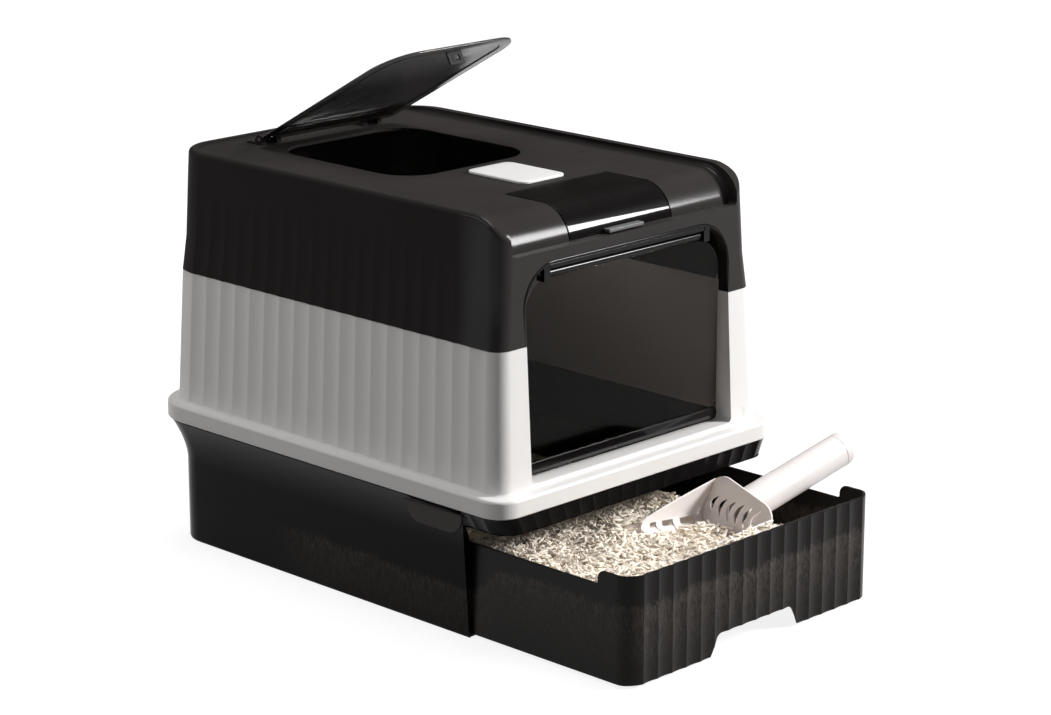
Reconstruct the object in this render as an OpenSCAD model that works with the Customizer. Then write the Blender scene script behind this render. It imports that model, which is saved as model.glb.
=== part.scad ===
// Drawer litter box: base with a litter drawer, a middle body, and a hood with a swing door,
// a top lid and a flip-up visor. Front is -Y, up is +Z, the base stands on z = 0.

/* [Overall] */
// Width over the rim of the middle body
rim_w = 393; // [380:1:500]
// Length over the rim, front to back
rim_l = 510; // [500:1:640]
// Height of the rim's lower edge
rim_z = 132; // [126:1:170]
// Height of the seam between the middle body and the hood
seam_z = 285; // [275:1:345]
// Height of the hood's top edge
top_z = 408; // [402:1:490]
// Wall of the large moulded shells
wall = 3; // [2.4:0.1:3.6]

/* [Base] */
// Thickness of the base floor
floor_t = 3; // [2.5:0.1:5]
// How far the base side walls stand in from the rim
base_inset = 18.5; // [16:0.5:24]
// How far the side walls stop short of the rim's front edge
base_step = 61; // [50:1:80]
// Depth of the front beam below the rim
beam_drop = 18; // [12:1:20]
// Height over which the base flares out to its collar
flare_h = 29; // [20:1:34]
// Width of one side catch
catch_w = 74; // [50:1:90]
// Drop of one side catch below its pin
catch_drop = 18; // [12:1:22]

/* [Drawer] */
// Travel of the drawer
drawer_travel = 160; // [100:1:200]
// Gap between the drawer and the base on each side
drawer_gap = 1; // [0.6:0.1:2]
// Height of the drawer's front wall and ears
drawer_front_h = 108; // [95:1:110]
// Height of the drawer's side walls
drawer_side_h = 94.5; // [80:0.5:96]
// Length of the ears along the sides
ear_l = 41; // [30:1:60]
// Wall of the drawer
drawer_wall = 2.5; // [2:0.1:3]
// Height of the tray floor
tray_z = 26; // [20:1:28]
// Width of the finger notch at the bottom of the front wall
notch_w = 128; // [90:1:160]
// Height of the litter
litter_z = 92; // [60:1:94]

/* [Middle body] */
// Height of the rim band
rim_h = 18; // [15:1:24]
// How far the body's side walls stand in from the rim
side_set = 11.5; // [9:0.5:14]
// How far the body's front wall stands in from the rim
front_set = 14; // [11:0.5:16]
// How far the body's rear wall stands in from the rim
rear_set = 7; // [6:0.5:10]
// How far the walls lean in between the rim and the seam
body_lean = 7; // [4:0.5:9]

/* [Doorway] */
// Width of the doorway
door_way_w = 282; // [230:1:290]
// Height of the doorway's sill
sill_z = 154; // [153:1:190]
// Depth from the seam-level front face to the back of the doorway's frame
frame_depth = 13; // [12:1:16]
// Height of the doorway's top edge
door_top_z = 357; // [345:1:358]
// Gap between the door and the doorway on each side
door_gap = 7; // [5:0.5:10]
// Thickness of the door
door_t = 3; // [2:0.1:3.5]
// Diameter of the bar along the top of the door
bar_d = 8; // [7:0.5:9]
// Distance from each end of the bar to the side of the doorway
bar_inset = 35; // [34:1:50]

/* [Hood] */
// Depth of the deck below the top edge
deck_drop = 6; // [5:0.5:8]
// Width of the raised edge along each side
lip_w = 13; // [11:1:16]
// Radius of the roll from the deck down to the front face
roll_r = 36; // [32:1:37]
// Length of the top opening
hatch_l = 200; // [150:1:204]
// Width of the top opening
hatch_w = 180; // [140:1:220]
// Distance from the hatch's rear edge back to the hood's rear face
hatch_back = 67; // [60:1:90]

/* [Lid] */
// How far the lid laps over the front and side edges of the hatch
lid_lap = 10; // [5:0.5:10]
// Thickness of the lid
lid_t = 2.6; // [2:0.1:3]
// Angle at which the lid stands open
lid_open = 29; // [0:1:90]
// Distance from the hatch's rear edge back to the lid's pins
lid_axis_back = 26; // [22:1:30]

/* [Latch] */
// Length of the latch button
latch_l = 81; // [50:1:81]
// Width of the latch button
latch_w = 60; // [40:1:80]
// Travel of the latch
latch_travel = 6; // [3:0.5:6]

/* [Visor] */
// Width of the visor
visor_w = 140; // [120:1:180]
// Distance from the hood's front face back to the visor's pins
visor_back = 98; // [94:1:100]
// Thickness of the visor
visor_t = 2.2; // [1.6:0.1:2.4]

/* [Scoop] */
// Width of the scoop's blade
scoop_w = 78; // [64:1:82]
// Length of the scoop's blade
scoop_l = 105; // [88:1:110]
// Height of the scoop's back wall
scoop_h = 54; // [50:1:58]
// Wall of the scoop
scoop_wall = 2; // [1.5:0.1:2.5]
// Diameter of the scoop's handle
handle_d = 34; // [28:1:36]
// Length of the scoop's handle
handle_l = 155; // [120:1:165]

/* [Hidden] */
$fn = 64;
EPS = 0.01;
HULL_FN = 32;

rim_front = -rim_l / 2;
rim_back = rim_l / 2;
rim_top = rim_z + rim_h;
rim_r_front = 25;
rim_r_back = 50;
rim_skin = 2.6;

// Body and hood outlines, each as a half width, a front and a back
foot_x = rim_w / 2 - side_set;
foot_front = rim_front + front_set;
foot_back = rim_back - rear_set;
seam_x = foot_x - body_lean;
seam_front = foot_front + body_lean;
seam_back = foot_back - body_lean / 2;
body_r_front = 16;
body_r_back = 45;
body_fit = 0.6;
tongue_h = 8;
tongue_t = 2.2;

// Base
collar_inset = rim_skin + body_fit;
collar_x = rim_w / 2 - collar_inset;
collar_front = rim_front + collar_inset;
collar_back = rim_back - collar_inset;
collar_top = rim_top - wall;
collar_r_front = rim_r_front - collar_inset;
collar_r_back = rim_r_back - collar_inset;
base_x = rim_w / 2 - base_inset;
base_front = rim_front + base_step;
base_back = rim_back - base_inset + 5;
base_r_back = 40;
beam_z = rim_z - beam_drop;
flare_z = beam_z - flare_h;
flare_x = base_x + 4;
flare_back = base_back + 3;
pad_r = 11;
pad_t = 1.5;
pad_inset = 34;

// Side catches, hung on pins in lugs on the collar
catch_t = 2.4;
catch_barrel_r = 1.8;
catch_gap = 0.3;
catch_x = collar_x + catch_gap + 0.5;
catch_z = rim_z - 6;
catch_y = rim_front + 52 + catch_w / 2;
catch_pin_r = 1;
pin_play = 0.05;
lug_t = 4;
lug_side_gap = 0.5;
lug_r = catch_barrel_r + 0.6;

// Drawer, standing fully out
drawer_x = base_x - wall - drawer_gap;
drawer_shut_front = seam_front - 2;
drawer_front = drawer_shut_front - drawer_travel;
drawer_l = base_back - wall - 3 - drawer_shut_front;
drawer_back = drawer_front + drawer_l;
drawer_z = floor_t + 0.3;
drawer_r_front = 18;
drawer_r_back = base_r_back - wall;
notch_h = tray_z - 2;
notch_taper = 11;
notch_r = 10;
ear_r = 8;

// Scoop, lying in the litter with its handle over the drawer's right wall
scoop_yaw = 5;
scoop_pitch = 10;
scoop_roll = 20;
handle_rise = 24;
handle_z = 31.5;
handle_r = handle_d / 2;
handle_clear = 1;
scoop_r = 14;
scoop_tip_h = 9;
scoop_back_x = drawer_x - 102;
scoop_y = drawer_front + 100;
handle_dx = cos(handle_rise) * cos(scoop_pitch) + sin(handle_rise) * cos(scoop_roll) * sin(scoop_pitch);
handle_dz = sin(handle_rise) * cos(scoop_roll) * cos(scoop_pitch) - cos(handle_rise) * sin(scoop_pitch);
handle_slope = atan(handle_dz / handle_dx);
handle_root_x = scoop_back_x + handle_z * cos(scoop_roll) * sin(scoop_pitch);
handle_over = (drawer_x - drawer_wall - handle_root_x) * tan(handle_slope);
handle_root_z = drawer_side_h + handle_clear + handle_r / cos(handle_slope) - handle_over;
scoop_z = handle_root_z - handle_z * cos(scoop_roll) * cos(scoop_pitch);
cap_l = 14;
cap_r = 7;
neck_r = handle_r - 4;
neck_l = 28;
neck_show = handle_r * tan(handle_rise) + 3;
back_slots = 6;
floor_slots = 5;

// Doorway and door
way_x = door_way_w / 2;
way_r_top = 40;
way_r_low = 5;
frame_t = 3;
frame_back = seam_front + frame_depth;
door_x = way_x - door_gap;
door_y = seam_front + 9;
bar_r = bar_d / 2;
bar_l = door_way_w - 2 * bar_inset;
bar_z = door_top_z - 10;
door_low = sill_z + 4;
door_top = bar_z;
door_r_top = 34;
door_r_low = 5;
door_pin_r = 2;
bracket_w = 8;
bracket_gap = 1;
bracket_x = bar_l / 2 + bracket_gap;
bracket_low = 6;
strip_h = 11;
strip_t = 5;

// Hood
waist_z = seam_z + 35;
waist_in = 4.5;
crown_in = 4.5;
deck_z = top_z - deck_drop;
roll_cz = deck_z - roll_r;
crown_front = seam_front + 5;
crown_back = seam_back - 5;
crown_x = seam_x - waist_in - crown_in;
ledge_w = 8;
ledge_z = roll_cz + 4;
lip_r = roll_r + ledge_w;
recess_x = crown_x - lip_w;
recess_back = crown_back - 10;
roll_front = crown_front + ledge_w;

// Hatch and lid
hatch_y1 = seam_back - hatch_back;
hatch_y0 = hatch_y1 - hatch_l;
hatch_r = 41;
axis_y = hatch_y1 + lid_axis_back;
axis_z = deck_z + 6;
lid_z = deck_z + 1;
lid_x = hatch_w / 2 + 3;
lid_y0 = hatch_y0 - lid_lap;
lid_y1 = axis_y - 8;
lid_r = 40;
barrel_r = 4.5;
barrel_w = 13;
barrel_x = min(70, lid_x - barrel_w);
lid_pin_r = 2;
ear_w = 6;
ear_gap = 0.5;
hinge_plate_t = 2;
hinge_plate_l = 14;
screw_r = 1.6;
screw_head_r = 3;
screw_head_h = 1.4;
screw_l = 3.6;

// Latch
latch_gap = 0.4;
latch_t = 2.6;
latch_y1 = lid_y0 - latch_travel - 2;
latch_y0 = latch_y1 - latch_l;
latch_r = 9;
post_x = 4;
post_l = 20;
post_y = (latch_y0 + latch_y1) / 2;
bolt_x = 4.5;
bolt_t = 4;
bolt_z1 = deck_z - wall - 0.6;
bolt_z0 = bolt_z1 - bolt_t;
bolt_y1 = hatch_y0 - 0.5;
bolt_y0 = post_y - post_l / 2 - 6;
guide_t = 2.5;
guide_gap = 0.5;
keeper_y = hatch_y0 + 1.5;
keeper_t = 2;
keeper_x = 10;
keeper_gap = 1;
keeper_low = 4;

// Visor and deodoriser
visor_x = visor_w / 2;
visor_gap = 1.5;
visor_top = deck_z + 0.2;
visor_y = seam_front + visor_back;
visor_low = ledge_z + 1.5;
seat_drop = 4;
seat_x = visor_x + visor_gap;
seat_back = visor_y + 3;
seat_boss = 4;
knuckle_r = 2;
knuckle_z = visor_top - knuckle_r;
visor_pin_r = 1;
visor_pin_in = 5;
visor_pin_out = 3;
pull_x = 24;
pull_l = 7;
pull_h = 3.5;
scent_x = 56;
scent_y0 = seam_front + 54;
scent_y1 = visor_y - 6;
scent_lap = 3;
scent_gap = 0.5;
scent_wall = 1.5;
scent_depth = 22;
scent_flange = 1.2;
block_gap = 3;
block_h = 14;
vent_count = 9;

// ---- shared outlines ----

// Rectangle from y0 to y1 with one radius at its front corners and one at its back corners
module outline(half_w, y0, y1, r0, r1) {
    translate([-half_w, y0 + r0]) square([2 * half_w, y1 - y0 - r0 - r1]);
    translate([r0 - half_w, y0]) square([2 * (half_w - r0), r0 + EPS]);
    translate([r1 - half_w, y1 - r1 - EPS]) square([2 * (half_w - r1), r1 + EPS]);
    for (side = [-1, 1]) {
        translate([side * (half_w - r0), y0 + r0]) circle(r0);
        translate([side * (half_w - r1), y1 - r1]) circle(r1);
    }
}

// Upright block on such an outline
module block(half_w, y0, y1, r0, r1, z0, z1) {
    translate([0, 0, z0]) linear_extrude(z1 - z0) outline(half_w, y0, y1, r0, r1);
}

// Thin slice of such a block, to hull a leaning wall between two heights
module slice(half_w, y0, y1, r0, r1, z) {
    block(half_w, y0, y1, r0, r1, z - EPS, z, $fn = HULL_FN);
}

// Side profile carried across the width: Y runs to the right of the profile, Z up
module across(half_w) {
    rotate([90, 0, 90]) translate([0, 0, -half_w]) linear_extrude(2 * half_w) children();
}

// Side profile with a rounded top front corner
module rolled(y0, y1, z0, z1, r) {
    translate([y0, z0]) square([y1 - y0, z1 - z0 - r]);
    translate([y0 + r, z0]) square([y1 - y0 - r, z1 - z0]);
    translate([y0 + r, z1 - r]) circle(r);
}

module box(x0, x1, y0, y1, z0, z1) {
    translate([x0, y0, z0]) cube([x1 - x0, y1 - y0, z1 - z0]);
}

// Rod along X
module rod_x(x0, x1, y, z, r) {
    translate([x0, y, z]) rotate([0, 90, 0]) cylinder(h = x1 - x0, r = r);
}

// Doorway outline, grown by grow, swept along Y
module doorway(grow, y0, y1) {
    half = way_x + grow;
    low = sill_z - grow;
    high = door_top_z + grow;
    r_low = way_r_low + grow;
    r_top = way_r_top + grow;
    translate([0, y1, 0]) rotate([90, 0, 0]) linear_extrude(y1 - y0) outline(half, low, high, r_low, r_top);
}

// ---- base ----

module base_shell() {
    inner_x = base_x - wall;
    color([0.10, 0.09, 0.09]) {
        difference() {
            union() {
                block(base_x, base_front, base_back, EPS, base_r_back, 0, flare_z);
                hull() {
                    slice(base_x, base_front, base_back, EPS, base_r_back, flare_z);
                    slice(flare_x, base_front, flare_back, EPS, base_r_back, beam_z);
                }
                hull() {
                    slice(flare_x, collar_front, flare_back, collar_r_front, base_r_back, beam_z + EPS);
                    slice(collar_x, collar_front, collar_back, collar_r_front, collar_r_back, rim_z - 2);
                }
                block(collar_x, collar_front, collar_back, collar_r_front, collar_r_back, rim_z - 2 - EPS, collar_top);
            }
            block(inner_x, base_front - wall, base_back - wall, EPS, base_r_back - wall, floor_t, flare_z + EPS);
            hull() {
                slice(inner_x, base_front - wall, base_back - wall, EPS, base_r_back - wall, flare_z);
                slice(flare_x - wall, base_front - wall, flare_back - wall, EPS, base_r_back - wall, beam_z);
            }
            hull() {
                slice(flare_x - wall, collar_front + wall, flare_back - wall,
                      collar_r_front - wall, base_r_back - wall, beam_z);
                slice(collar_x - wall, collar_front + wall, collar_back - wall,
                      collar_r_front - wall, collar_r_back - wall, rim_z - 2);
            }
            block(collar_x - wall, collar_front + wall, collar_back - wall,
                  collar_r_front - wall, collar_r_back - wall, rim_z - 2 - EPS, collar_top + 1);
            for (sx = [-1, 1], y = [base_front + pad_inset, base_back - pad_inset]) {
                translate([sx * (base_x - pad_inset), y, -1]) cylinder(h = pad_t + 1, r = pad_r);
            }
        }
        catch_lugs();
    }
}

// Lugs that hold the catch pins, two on each side
module catch_lugs() {
    reach = catch_w / 2 + lug_side_gap;
    for (sx = [-1, 1], sy = [-1, 1]) {
        mirror([sx < 0 ? 1 : 0, 0, 0]) difference() {
            translate([0, catch_y + sy * (reach + lug_t / 2), catch_z]) {
                translate([catch_x, lug_t / 2, 0]) rotate([90, 0, 0]) cylinder(h = lug_t, r = lug_r);
                translate([collar_x - wall, -lug_t / 2, 0]) cube([catch_x - collar_x + wall, lug_t, lug_r]);
                translate([collar_x - wall, -lug_t / 2, lug_r - EPS])
                    cube([wall / 2, lug_t, rim_z - catch_z - lug_r]);
            }
            translate([catch_x, catch_y + catch_w, catch_z])
                rotate([90, 0, 0]) cylinder(h = 2 * catch_w, r = catch_pin_r);
        }
    }
}

module base_pads() {
    color([0.16, 0.16, 0.16])
    for (sx = [-1, 1], y = [base_front + pad_inset, base_back - pad_inset]) {
        translate([sx * (base_x - pad_inset), y, 0]) cylinder(h = pad_t, r = pad_r);
    }
}

// One half-oval catch with its barrel along the top edge
module side_catch() {
    color([0.22, 0.20, 0.20])
    difference() {
        union() {
            translate([catch_x, catch_y + catch_w / 2, catch_z])
                rotate([90, 0, 0]) cylinder(h = catch_w, r = catch_barrel_r);
            translate([catch_x + catch_barrel_r - catch_t, catch_y, catch_z]) intersection() {
                rotate([0, 90, 0]) linear_extrude(catch_t) union() {
                    translate([0, catch_drop - catch_w / 2]) square([catch_drop, catch_w - 2 * catch_drop]);
                    for (sy = [-1, 1]) {
                        translate([0, sy * (catch_w / 2 - catch_drop)]) circle(catch_drop);
                    }
                }
                translate([-1, -catch_w, -2 * catch_drop]) cube([2 * catch_t, 2 * catch_w, 2 * catch_drop]);
            }
        }
        translate([catch_x, catch_y + catch_w, catch_z])
            rotate([90, 0, 0]) cylinder(h = 2 * catch_w, r = catch_pin_r + pin_play);
    }
}

module catch_right() {
    side_catch();
}

module catch_left() {
    mirror([1, 0, 0]) side_catch();
}

module catch_pins() {
    half = catch_w / 2 + lug_side_gap + lug_t;
    color([0.75, 0.75, 0.76])
    for (sx = [-1, 1]) {
        translate([sx * catch_x, catch_y + half, catch_z])
            rotate([90, 0, 0]) cylinder(h = 2 * half, r = catch_pin_r);
    }
}

// ---- drawer ----

module drawer_tray() {
    color([0.15, 0.13, 0.13])
    difference() {
        block(drawer_x, drawer_front, drawer_back, drawer_r_front, drawer_r_back, drawer_z, drawer_front_h);
        block(drawer_x - drawer_wall, drawer_front + drawer_wall, drawer_back - drawer_wall,
              drawer_r_front - drawer_wall, drawer_r_back - drawer_wall, tray_z + drawer_wall, drawer_front_h + 1);
        block(drawer_x - drawer_wall, drawer_front + drawer_wall, drawer_back - drawer_wall,
              drawer_r_front - drawer_wall, drawer_r_back - drawer_wall, drawer_z - 1, tray_z);
        drawer_side_cut();
        finger_notch();
    }
}

// Lowers the side and rear walls behind the ears, which have a rounded upper corner
module drawer_side_cut() {
    ear_end = drawer_front + ear_l;
    across(drawer_x + 1) {
        difference() {
            translate([ear_end - ear_r, drawer_side_h]) square([drawer_l, drawer_front_h]);
            translate([ear_end - ear_r, drawer_front_h - ear_r]) circle(ear_r);
            translate([ear_end - 2 * ear_r, 0]) square([2 * ear_r, drawer_front_h - ear_r]);
        }
    }
}

// Finger notch under the tray floor, wider at its bottom, with rounded upper corners
module finger_notch() {
    low = notch_w / 2;
    high = low - notch_taper;
    reach = drawer_r_front;
    translate([0, drawer_front + reach, 0]) rotate([90, 0, 0]) linear_extrude(reach + 1) union() {
        polygon([[-low, 0], [low, 0], [high + 2, notch_h - notch_r], [high - notch_r, notch_h],
                 [notch_r - high, notch_h], [-high - 2, notch_h - notch_r]]);
        for (sx = [-1, 1]) {
            translate([sx * (high - notch_r + 1), notch_h - notch_r]) circle(notch_r);
        }
    }
}

module litter_bed() {
    color([0.86, 0.80, 0.70])
    difference() {
        block(drawer_x - drawer_wall, drawer_front + drawer_wall, drawer_back - drawer_wall,
              drawer_r_front - drawer_wall, drawer_r_back - drawer_wall, tray_z + drawer_wall, litter_z);
        place_scoop() scoop_hollow();
    }
}

// Hollow that the scoop and its handle have pushed into the litter, open towards the drawer's front
module scoop_hollow() {
    spare = 2;
    hull() {
        translate([-scoop_l - spare, -scoop_w / 2 - spare, -spare])
            cube([scoop_l + neck_show + spare, scoop_w + 2 * spare, 1]);
        translate([-scoop_l - scoop_r, -scoop_w - scoop_h / 2, scoop_h])
            cube([scoop_l + 2 * scoop_r + neck_show, 1.5 * scoop_w + scoop_h, 1]);
    }
    hull() for (up = [0, scoop_h]) {
        translate([0, -up, handle_z + up]) rotate([0, 90 - handle_rise, 0])
            cylinder(h = handle_l, r = handle_r + spare, $fn = HULL_FN);
    }
}

// ---- scoop ----

module place_scoop() {
    translate([scoop_back_x, scoop_y, scoop_z]) rotate([0, 0, scoop_yaw])
        rotate([0, scoop_pitch, 0]) rotate([scoop_roll, 0, 0]) children();
}

// Puts a piece on the handle's axis, with z running along it from the back wall
module place_handle() {
    translate([0, 0, handle_z]) rotate([0, 90 - handle_rise, 0]) children();
}

// Upright rounded plate at x, from z0 to z1
module scoop_plate(x, half_w, z0, z1, r) {
    translate([x, 0, 0]) rotate([90, 0, 90]) linear_extrude(1) outline(half_w, z0, z1, r, r);
}

module scoop_blade() {
    inner = scoop_w / 2 - scoop_wall;
    color([0.93, 0.91, 0.90])
    place_scoop() difference() {
        union() {
            hull() {
                scoop_plate(-1, scoop_w / 2, 0, scoop_h, scoop_r, $fn = HULL_FN);
                translate([-scoop_l, -scoop_w * 0.42, 0]) cube([1, scoop_w * 0.84, scoop_tip_h]);
            }
            place_handle() cylinder(h = neck_l, r = neck_r);
        }
        hull() {
            scoop_plate(-1 - scoop_wall, inner, scoop_wall, scoop_h + scoop_r, scoop_r - scoop_wall, $fn = HULL_FN);
            translate([-scoop_l - 2, -scoop_w * 0.42 + scoop_wall, scoop_wall])
                cube([1, scoop_w * 0.84 - 2 * scoop_wall, scoop_h]);
        }
        translate([-scoop_l, 0, 0]) scoop_slots();
    }
}

// Slots through the back wall and through the blade's floor
module scoop_slots() {
    pitch = (scoop_w - 2 * scoop_r) / (back_slots - 1);
    for (i = [0 : back_slots - 1]) {
        y = -scoop_w / 2 + scoop_r + i * pitch;
        low = 5 + 2 * abs(i - (back_slots - 1) / 2);
        translate([scoop_l - scoop_wall - 2, y - 1.4, low]) cube([scoop_wall + 4, 2.8, 10]);
    }
    for (i = [0 : floor_slots - 1], sy = [-1, 0, 1]) {
        translate([14 + i * 14, sy * scoop_w * 0.28 - 9, -1]) cube([4, 18, scoop_wall + 2]);
    }
}

module scoop_handle() {
    color([0.94, 0.92, 0.91])
    place_scoop() place_handle() difference() {
        translate([0, 0, neck_show]) cylinder(h = handle_l - cap_l - neck_show, r = handle_r);
        cylinder(h = neck_l, r = neck_r);
    }
}

module scoop_cap() {
    color([0.95, 0.93, 0.92])
    place_scoop() place_handle() translate([0, 0, handle_l - cap_l]) rotate_extrude() union() {
        square([handle_r, cap_l - cap_r]);
        square([handle_r - cap_r, cap_l]);
        translate([handle_r - cap_r, cap_l - cap_r]) circle(cap_r);
    }
}

// ---- middle body ----

module body_shell() {
    color([0.90, 0.89, 0.88])
    difference() {
        union() {
            block(rim_w / 2, rim_front, rim_back, rim_r_front, rim_r_back, rim_z, rim_top);
            hull() {
                slice(foot_x, foot_front, foot_back, body_r_front + 2, body_r_back, rim_top);
                slice(seam_x, seam_front, seam_back, body_r_front, body_r_back, seam_z);
            }
        }
        block(rim_w / 2 - rim_skin, rim_front + rim_skin, rim_back - rim_skin,
              rim_r_front - rim_skin, rim_r_back - rim_skin, rim_z - 1, rim_top - wall);
        difference() {
            hull() {
                slice(foot_x - wall, foot_front + wall, foot_back - wall, body_r_front, body_r_back - wall, rim_top - wall);
                slice(seam_x - wall, seam_front + wall, seam_back - wall,
                      body_r_front - wall, body_r_back - wall, seam_z + 1);
            }
            difference() {
                doorway(frame_t, rim_front, frame_back);
                box(-rim_w, rim_w, rim_front, frame_back, seam_z, top_z);
            }
        }
        doorway(0, rim_front - 1, frame_back + 1);
        box(-way_x, way_x, rim_front, frame_back + 1, seam_z - 20, seam_z + 2);
    }
}

// ---- hood ----

module hood_shell() {
    color([0.09, 0.08, 0.08])
    difference() {
        union() {
            difference() {
                hood_outside();
                hood_inside();
            }
            hood_tongue();
        }
        hood_recess();
        visor_seat();
        doorway(0, rim_front, frame_back + 1);
        block(hatch_w / 2, hatch_y0, hatch_y1, hatch_r, hatch_r, deck_z - 2 * wall, top_z + 1);
        box(-scent_x, scent_x, scent_y0, scent_y1, deck_z - 4 * wall, top_z);
        rod_x(-seat_x - visor_pin_out - 1, seat_x + visor_pin_out + 1, visor_y, knuckle_z, visor_pin_r + 2 * pin_play);
        box(-post_x - guide_gap, post_x + guide_gap, post_y - post_l / 2 - guide_gap,
            post_y + post_l / 2 + latch_travel + guide_gap, deck_z - 2 * wall, top_z);
    }
}

// Outer form, leaning in below and above the waist, with the front edge rolled over
module hood_outside() {
    intersection() {
        union() {
            hull() {
                slice(seam_x, seam_front, seam_back, body_r_front, body_r_back, seam_z + EPS);
                slice(seam_x - waist_in, seam_front + 2, seam_back - 2, body_r_front, body_r_back, waist_z);
            }
            hull() {
                slice(seam_x - waist_in, seam_front + 2, seam_back - 2, body_r_front, body_r_back, waist_z);
                slice(crown_x, crown_front, crown_back, body_r_front, body_r_back, top_z);
            }
        }
        across(seam_x + 1) rolled(seam_front - 1, seam_back + 1, seam_z - 1, top_z, lip_r);
    }
}

// Tongue that drops inside the middle body, rooted in the hood's wall and open at the doorway
module hood_tongue() {
    out = wall + body_fit;
    in = out + tongue_t;
    root = wall / 2;
    difference() {
        union() {
            block(seam_x - out, seam_front + out, seam_back - out, body_r_front - out, body_r_back - out,
                  seam_z - tongue_h, seam_z + wall);
            block(seam_x - root, seam_front + root, seam_back - root, body_r_front - root, body_r_back - root,
                  seam_z, seam_z + wall);
        }
        block(seam_x - in, seam_front + in, seam_back - in, body_r_front - in, body_r_back - in,
              seam_z - tongue_h - 1, seam_z + wall + 1);
        box(-way_x - frame_t - 1, way_x + frame_t + 1, rim_front, frame_back + 1, 0, seam_z);
    }
}

// Space above the deck, between the raised edges and over the front roll
module hood_recess() {
    difference() {
        block(recess_x, rim_front, recess_back, EPS, 30, ledge_z, top_z + 1);
        across(rim_w) rolled(roll_front, rim_back + 1, 0, deck_z, roll_r);
    }
}

// Space inside the hood, leaving the doorway's frame and a boss under the visor's seat
module hood_inside() {
    r0 = body_r_front - wall;
    r1 = body_r_back - wall;
    waist_x = seam_x - waist_in - wall;
    intersection() {
        union() {
            hull() {
                slice(seam_x - wall, seam_front + wall, seam_back - wall, r0, r1, seam_z);
                slice(waist_x, seam_front + 2 + wall, seam_back - 2 - wall, r0, r1, waist_z);
            }
            hull() {
                slice(waist_x, seam_front + 2 + wall, seam_back - 2 - wall, r0, r1, waist_z);
                slice(crown_x - wall, crown_front + wall, crown_back - wall, r0, r1, top_z);
            }
        }
        difference() {
            across(rim_w) union() {
                translate([rim_front, seam_z]) square([rim_l, ledge_z - wall - seam_z]);
                rolled(roll_front + wall, rim_back, seam_z, deck_z - wall, roll_r - wall);
            }
            difference() {
                doorway(frame_t, rim_front, frame_back);
                box(-rim_w, rim_w, rim_front, frame_back, 0, seam_z);
            }
            difference() {
                box(-seat_x - seat_boss, seat_x + seat_boss, rim_front, seat_back + seat_boss,
                    ledge_z - wall - 1, top_z);
                across(rim_w) rolled(roll_front + wall + seat_drop, rim_back, seam_z,
                                     deck_z - wall - seat_drop, roll_r - wall - seat_drop);
            }
        }
    }
}

// Sunk seat that the visor lies in
module visor_seat() {
    difference() {
        box(-seat_x, seat_x, rim_front, seat_back, ledge_z, top_z + 1);
        across(rim_w) rolled(roll_front + seat_drop, rim_back, 0, deck_z - seat_drop, roll_r - seat_drop);
    }
    rod_x(-seat_x, seat_x, visor_y, knuckle_z, knuckle_r + 0.6);
}

module deodoriser_tray() {
    z0 = deck_z - seat_drop;
    x1 = scent_x - scent_gap;
    y0 = scent_y0 + scent_gap;
    y1 = scent_y1 - scent_gap;
    pitch = 2 * (x1 - scent_wall - 6) / (vent_count - 1);
    color([0.20, 0.20, 0.21])
    difference() {
        union() {
            box(-x1, x1, y0, y1, z0 - scent_depth, z0);
            box(-scent_x - scent_lap, scent_x + scent_lap, scent_y0 - scent_lap, scent_y1 + 1.5,
                z0, z0 + scent_flange);
        }
        box(scent_wall - x1, x1 - scent_wall, y0 + scent_wall, y1 - scent_wall,
            z0 - scent_depth + scent_wall, z0 + scent_flange + 1);
        for (i = [0 : vent_count - 1]) {
            x = i * pitch - x1 + scent_wall + 6;
            box(x - 2, x + 2, y0 + 6, y1 - 6, z0 - scent_depth - 1, z0);
        }
    }
}

module deodoriser_block() {
    z0 = deck_z - seat_drop - scent_depth + scent_wall;
    x1 = scent_x - scent_gap - scent_wall - block_gap;
    color([0.45, 0.62, 0.50])
    block(x1, scent_y0 + scent_gap + scent_wall + block_gap / 2, scent_y1 - scent_gap - scent_wall - block_gap / 2,
          4, 4, z0, z0 + block_h);
}

// ---- lid, its brackets and pins ----

// Places children at both ends of a row along X
module both_sides() {
    children();
    mirror([1, 0, 0]) children();
}

module lid_brackets() {
    ear_in = barrel_x - barrel_w / 2 - ear_gap - ear_w;
    ear_out = barrel_x + barrel_w / 2 + ear_gap;
    plate_y = axis_y + barrel_r;
    color([0.10, 0.09, 0.09])
    both_sides() difference() {
        union() {
            for (x = [ear_in, ear_out]) {
                rod_x(x, x + ear_w, axis_y, axis_z, barrel_r);
                box(x, x + ear_w, axis_y - barrel_r, plate_y + 2, deck_z, axis_z);
            }
            box(ear_in, ear_out + ear_w, plate_y, plate_y + hinge_plate_l, deck_z, deck_z + hinge_plate_t);
        }
        rod_x(0, lid_x + barrel_w + ear_w, axis_y, axis_z, lid_pin_r);
        for (x = [ear_in + ear_w, ear_out]) {
            translate([x, plate_y + hinge_plate_l / 2 + 1, deck_z]) cylinder(h = hinge_plate_t, r = screw_r);
        }
    }
}

module bracket_screws() {
    ear_in = barrel_x - barrel_w / 2 - ear_gap - ear_w;
    ear_out = barrel_x + barrel_w / 2 + ear_gap;
    plate_y = axis_y + barrel_r;
    color([0.7, 0.7, 0.7])
    both_sides() for (x = [ear_in + ear_w, ear_out]) {
        translate([x, plate_y + hinge_plate_l / 2 + 1, deck_z]) {
            cylinder(h = hinge_plate_t, r = screw_r);
            translate([0, 0, hinge_plate_t]) cylinder(h = screw_head_h, r = screw_head_r);
        }
    }
}

// Turns a closed-lid shape up about the pins to where the lid stands open
module lift_lid() {
    translate([0, axis_y, axis_z]) rotate([-lid_open, 0, 0]) translate([0, -axis_y, -axis_z]) children();
}

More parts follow.
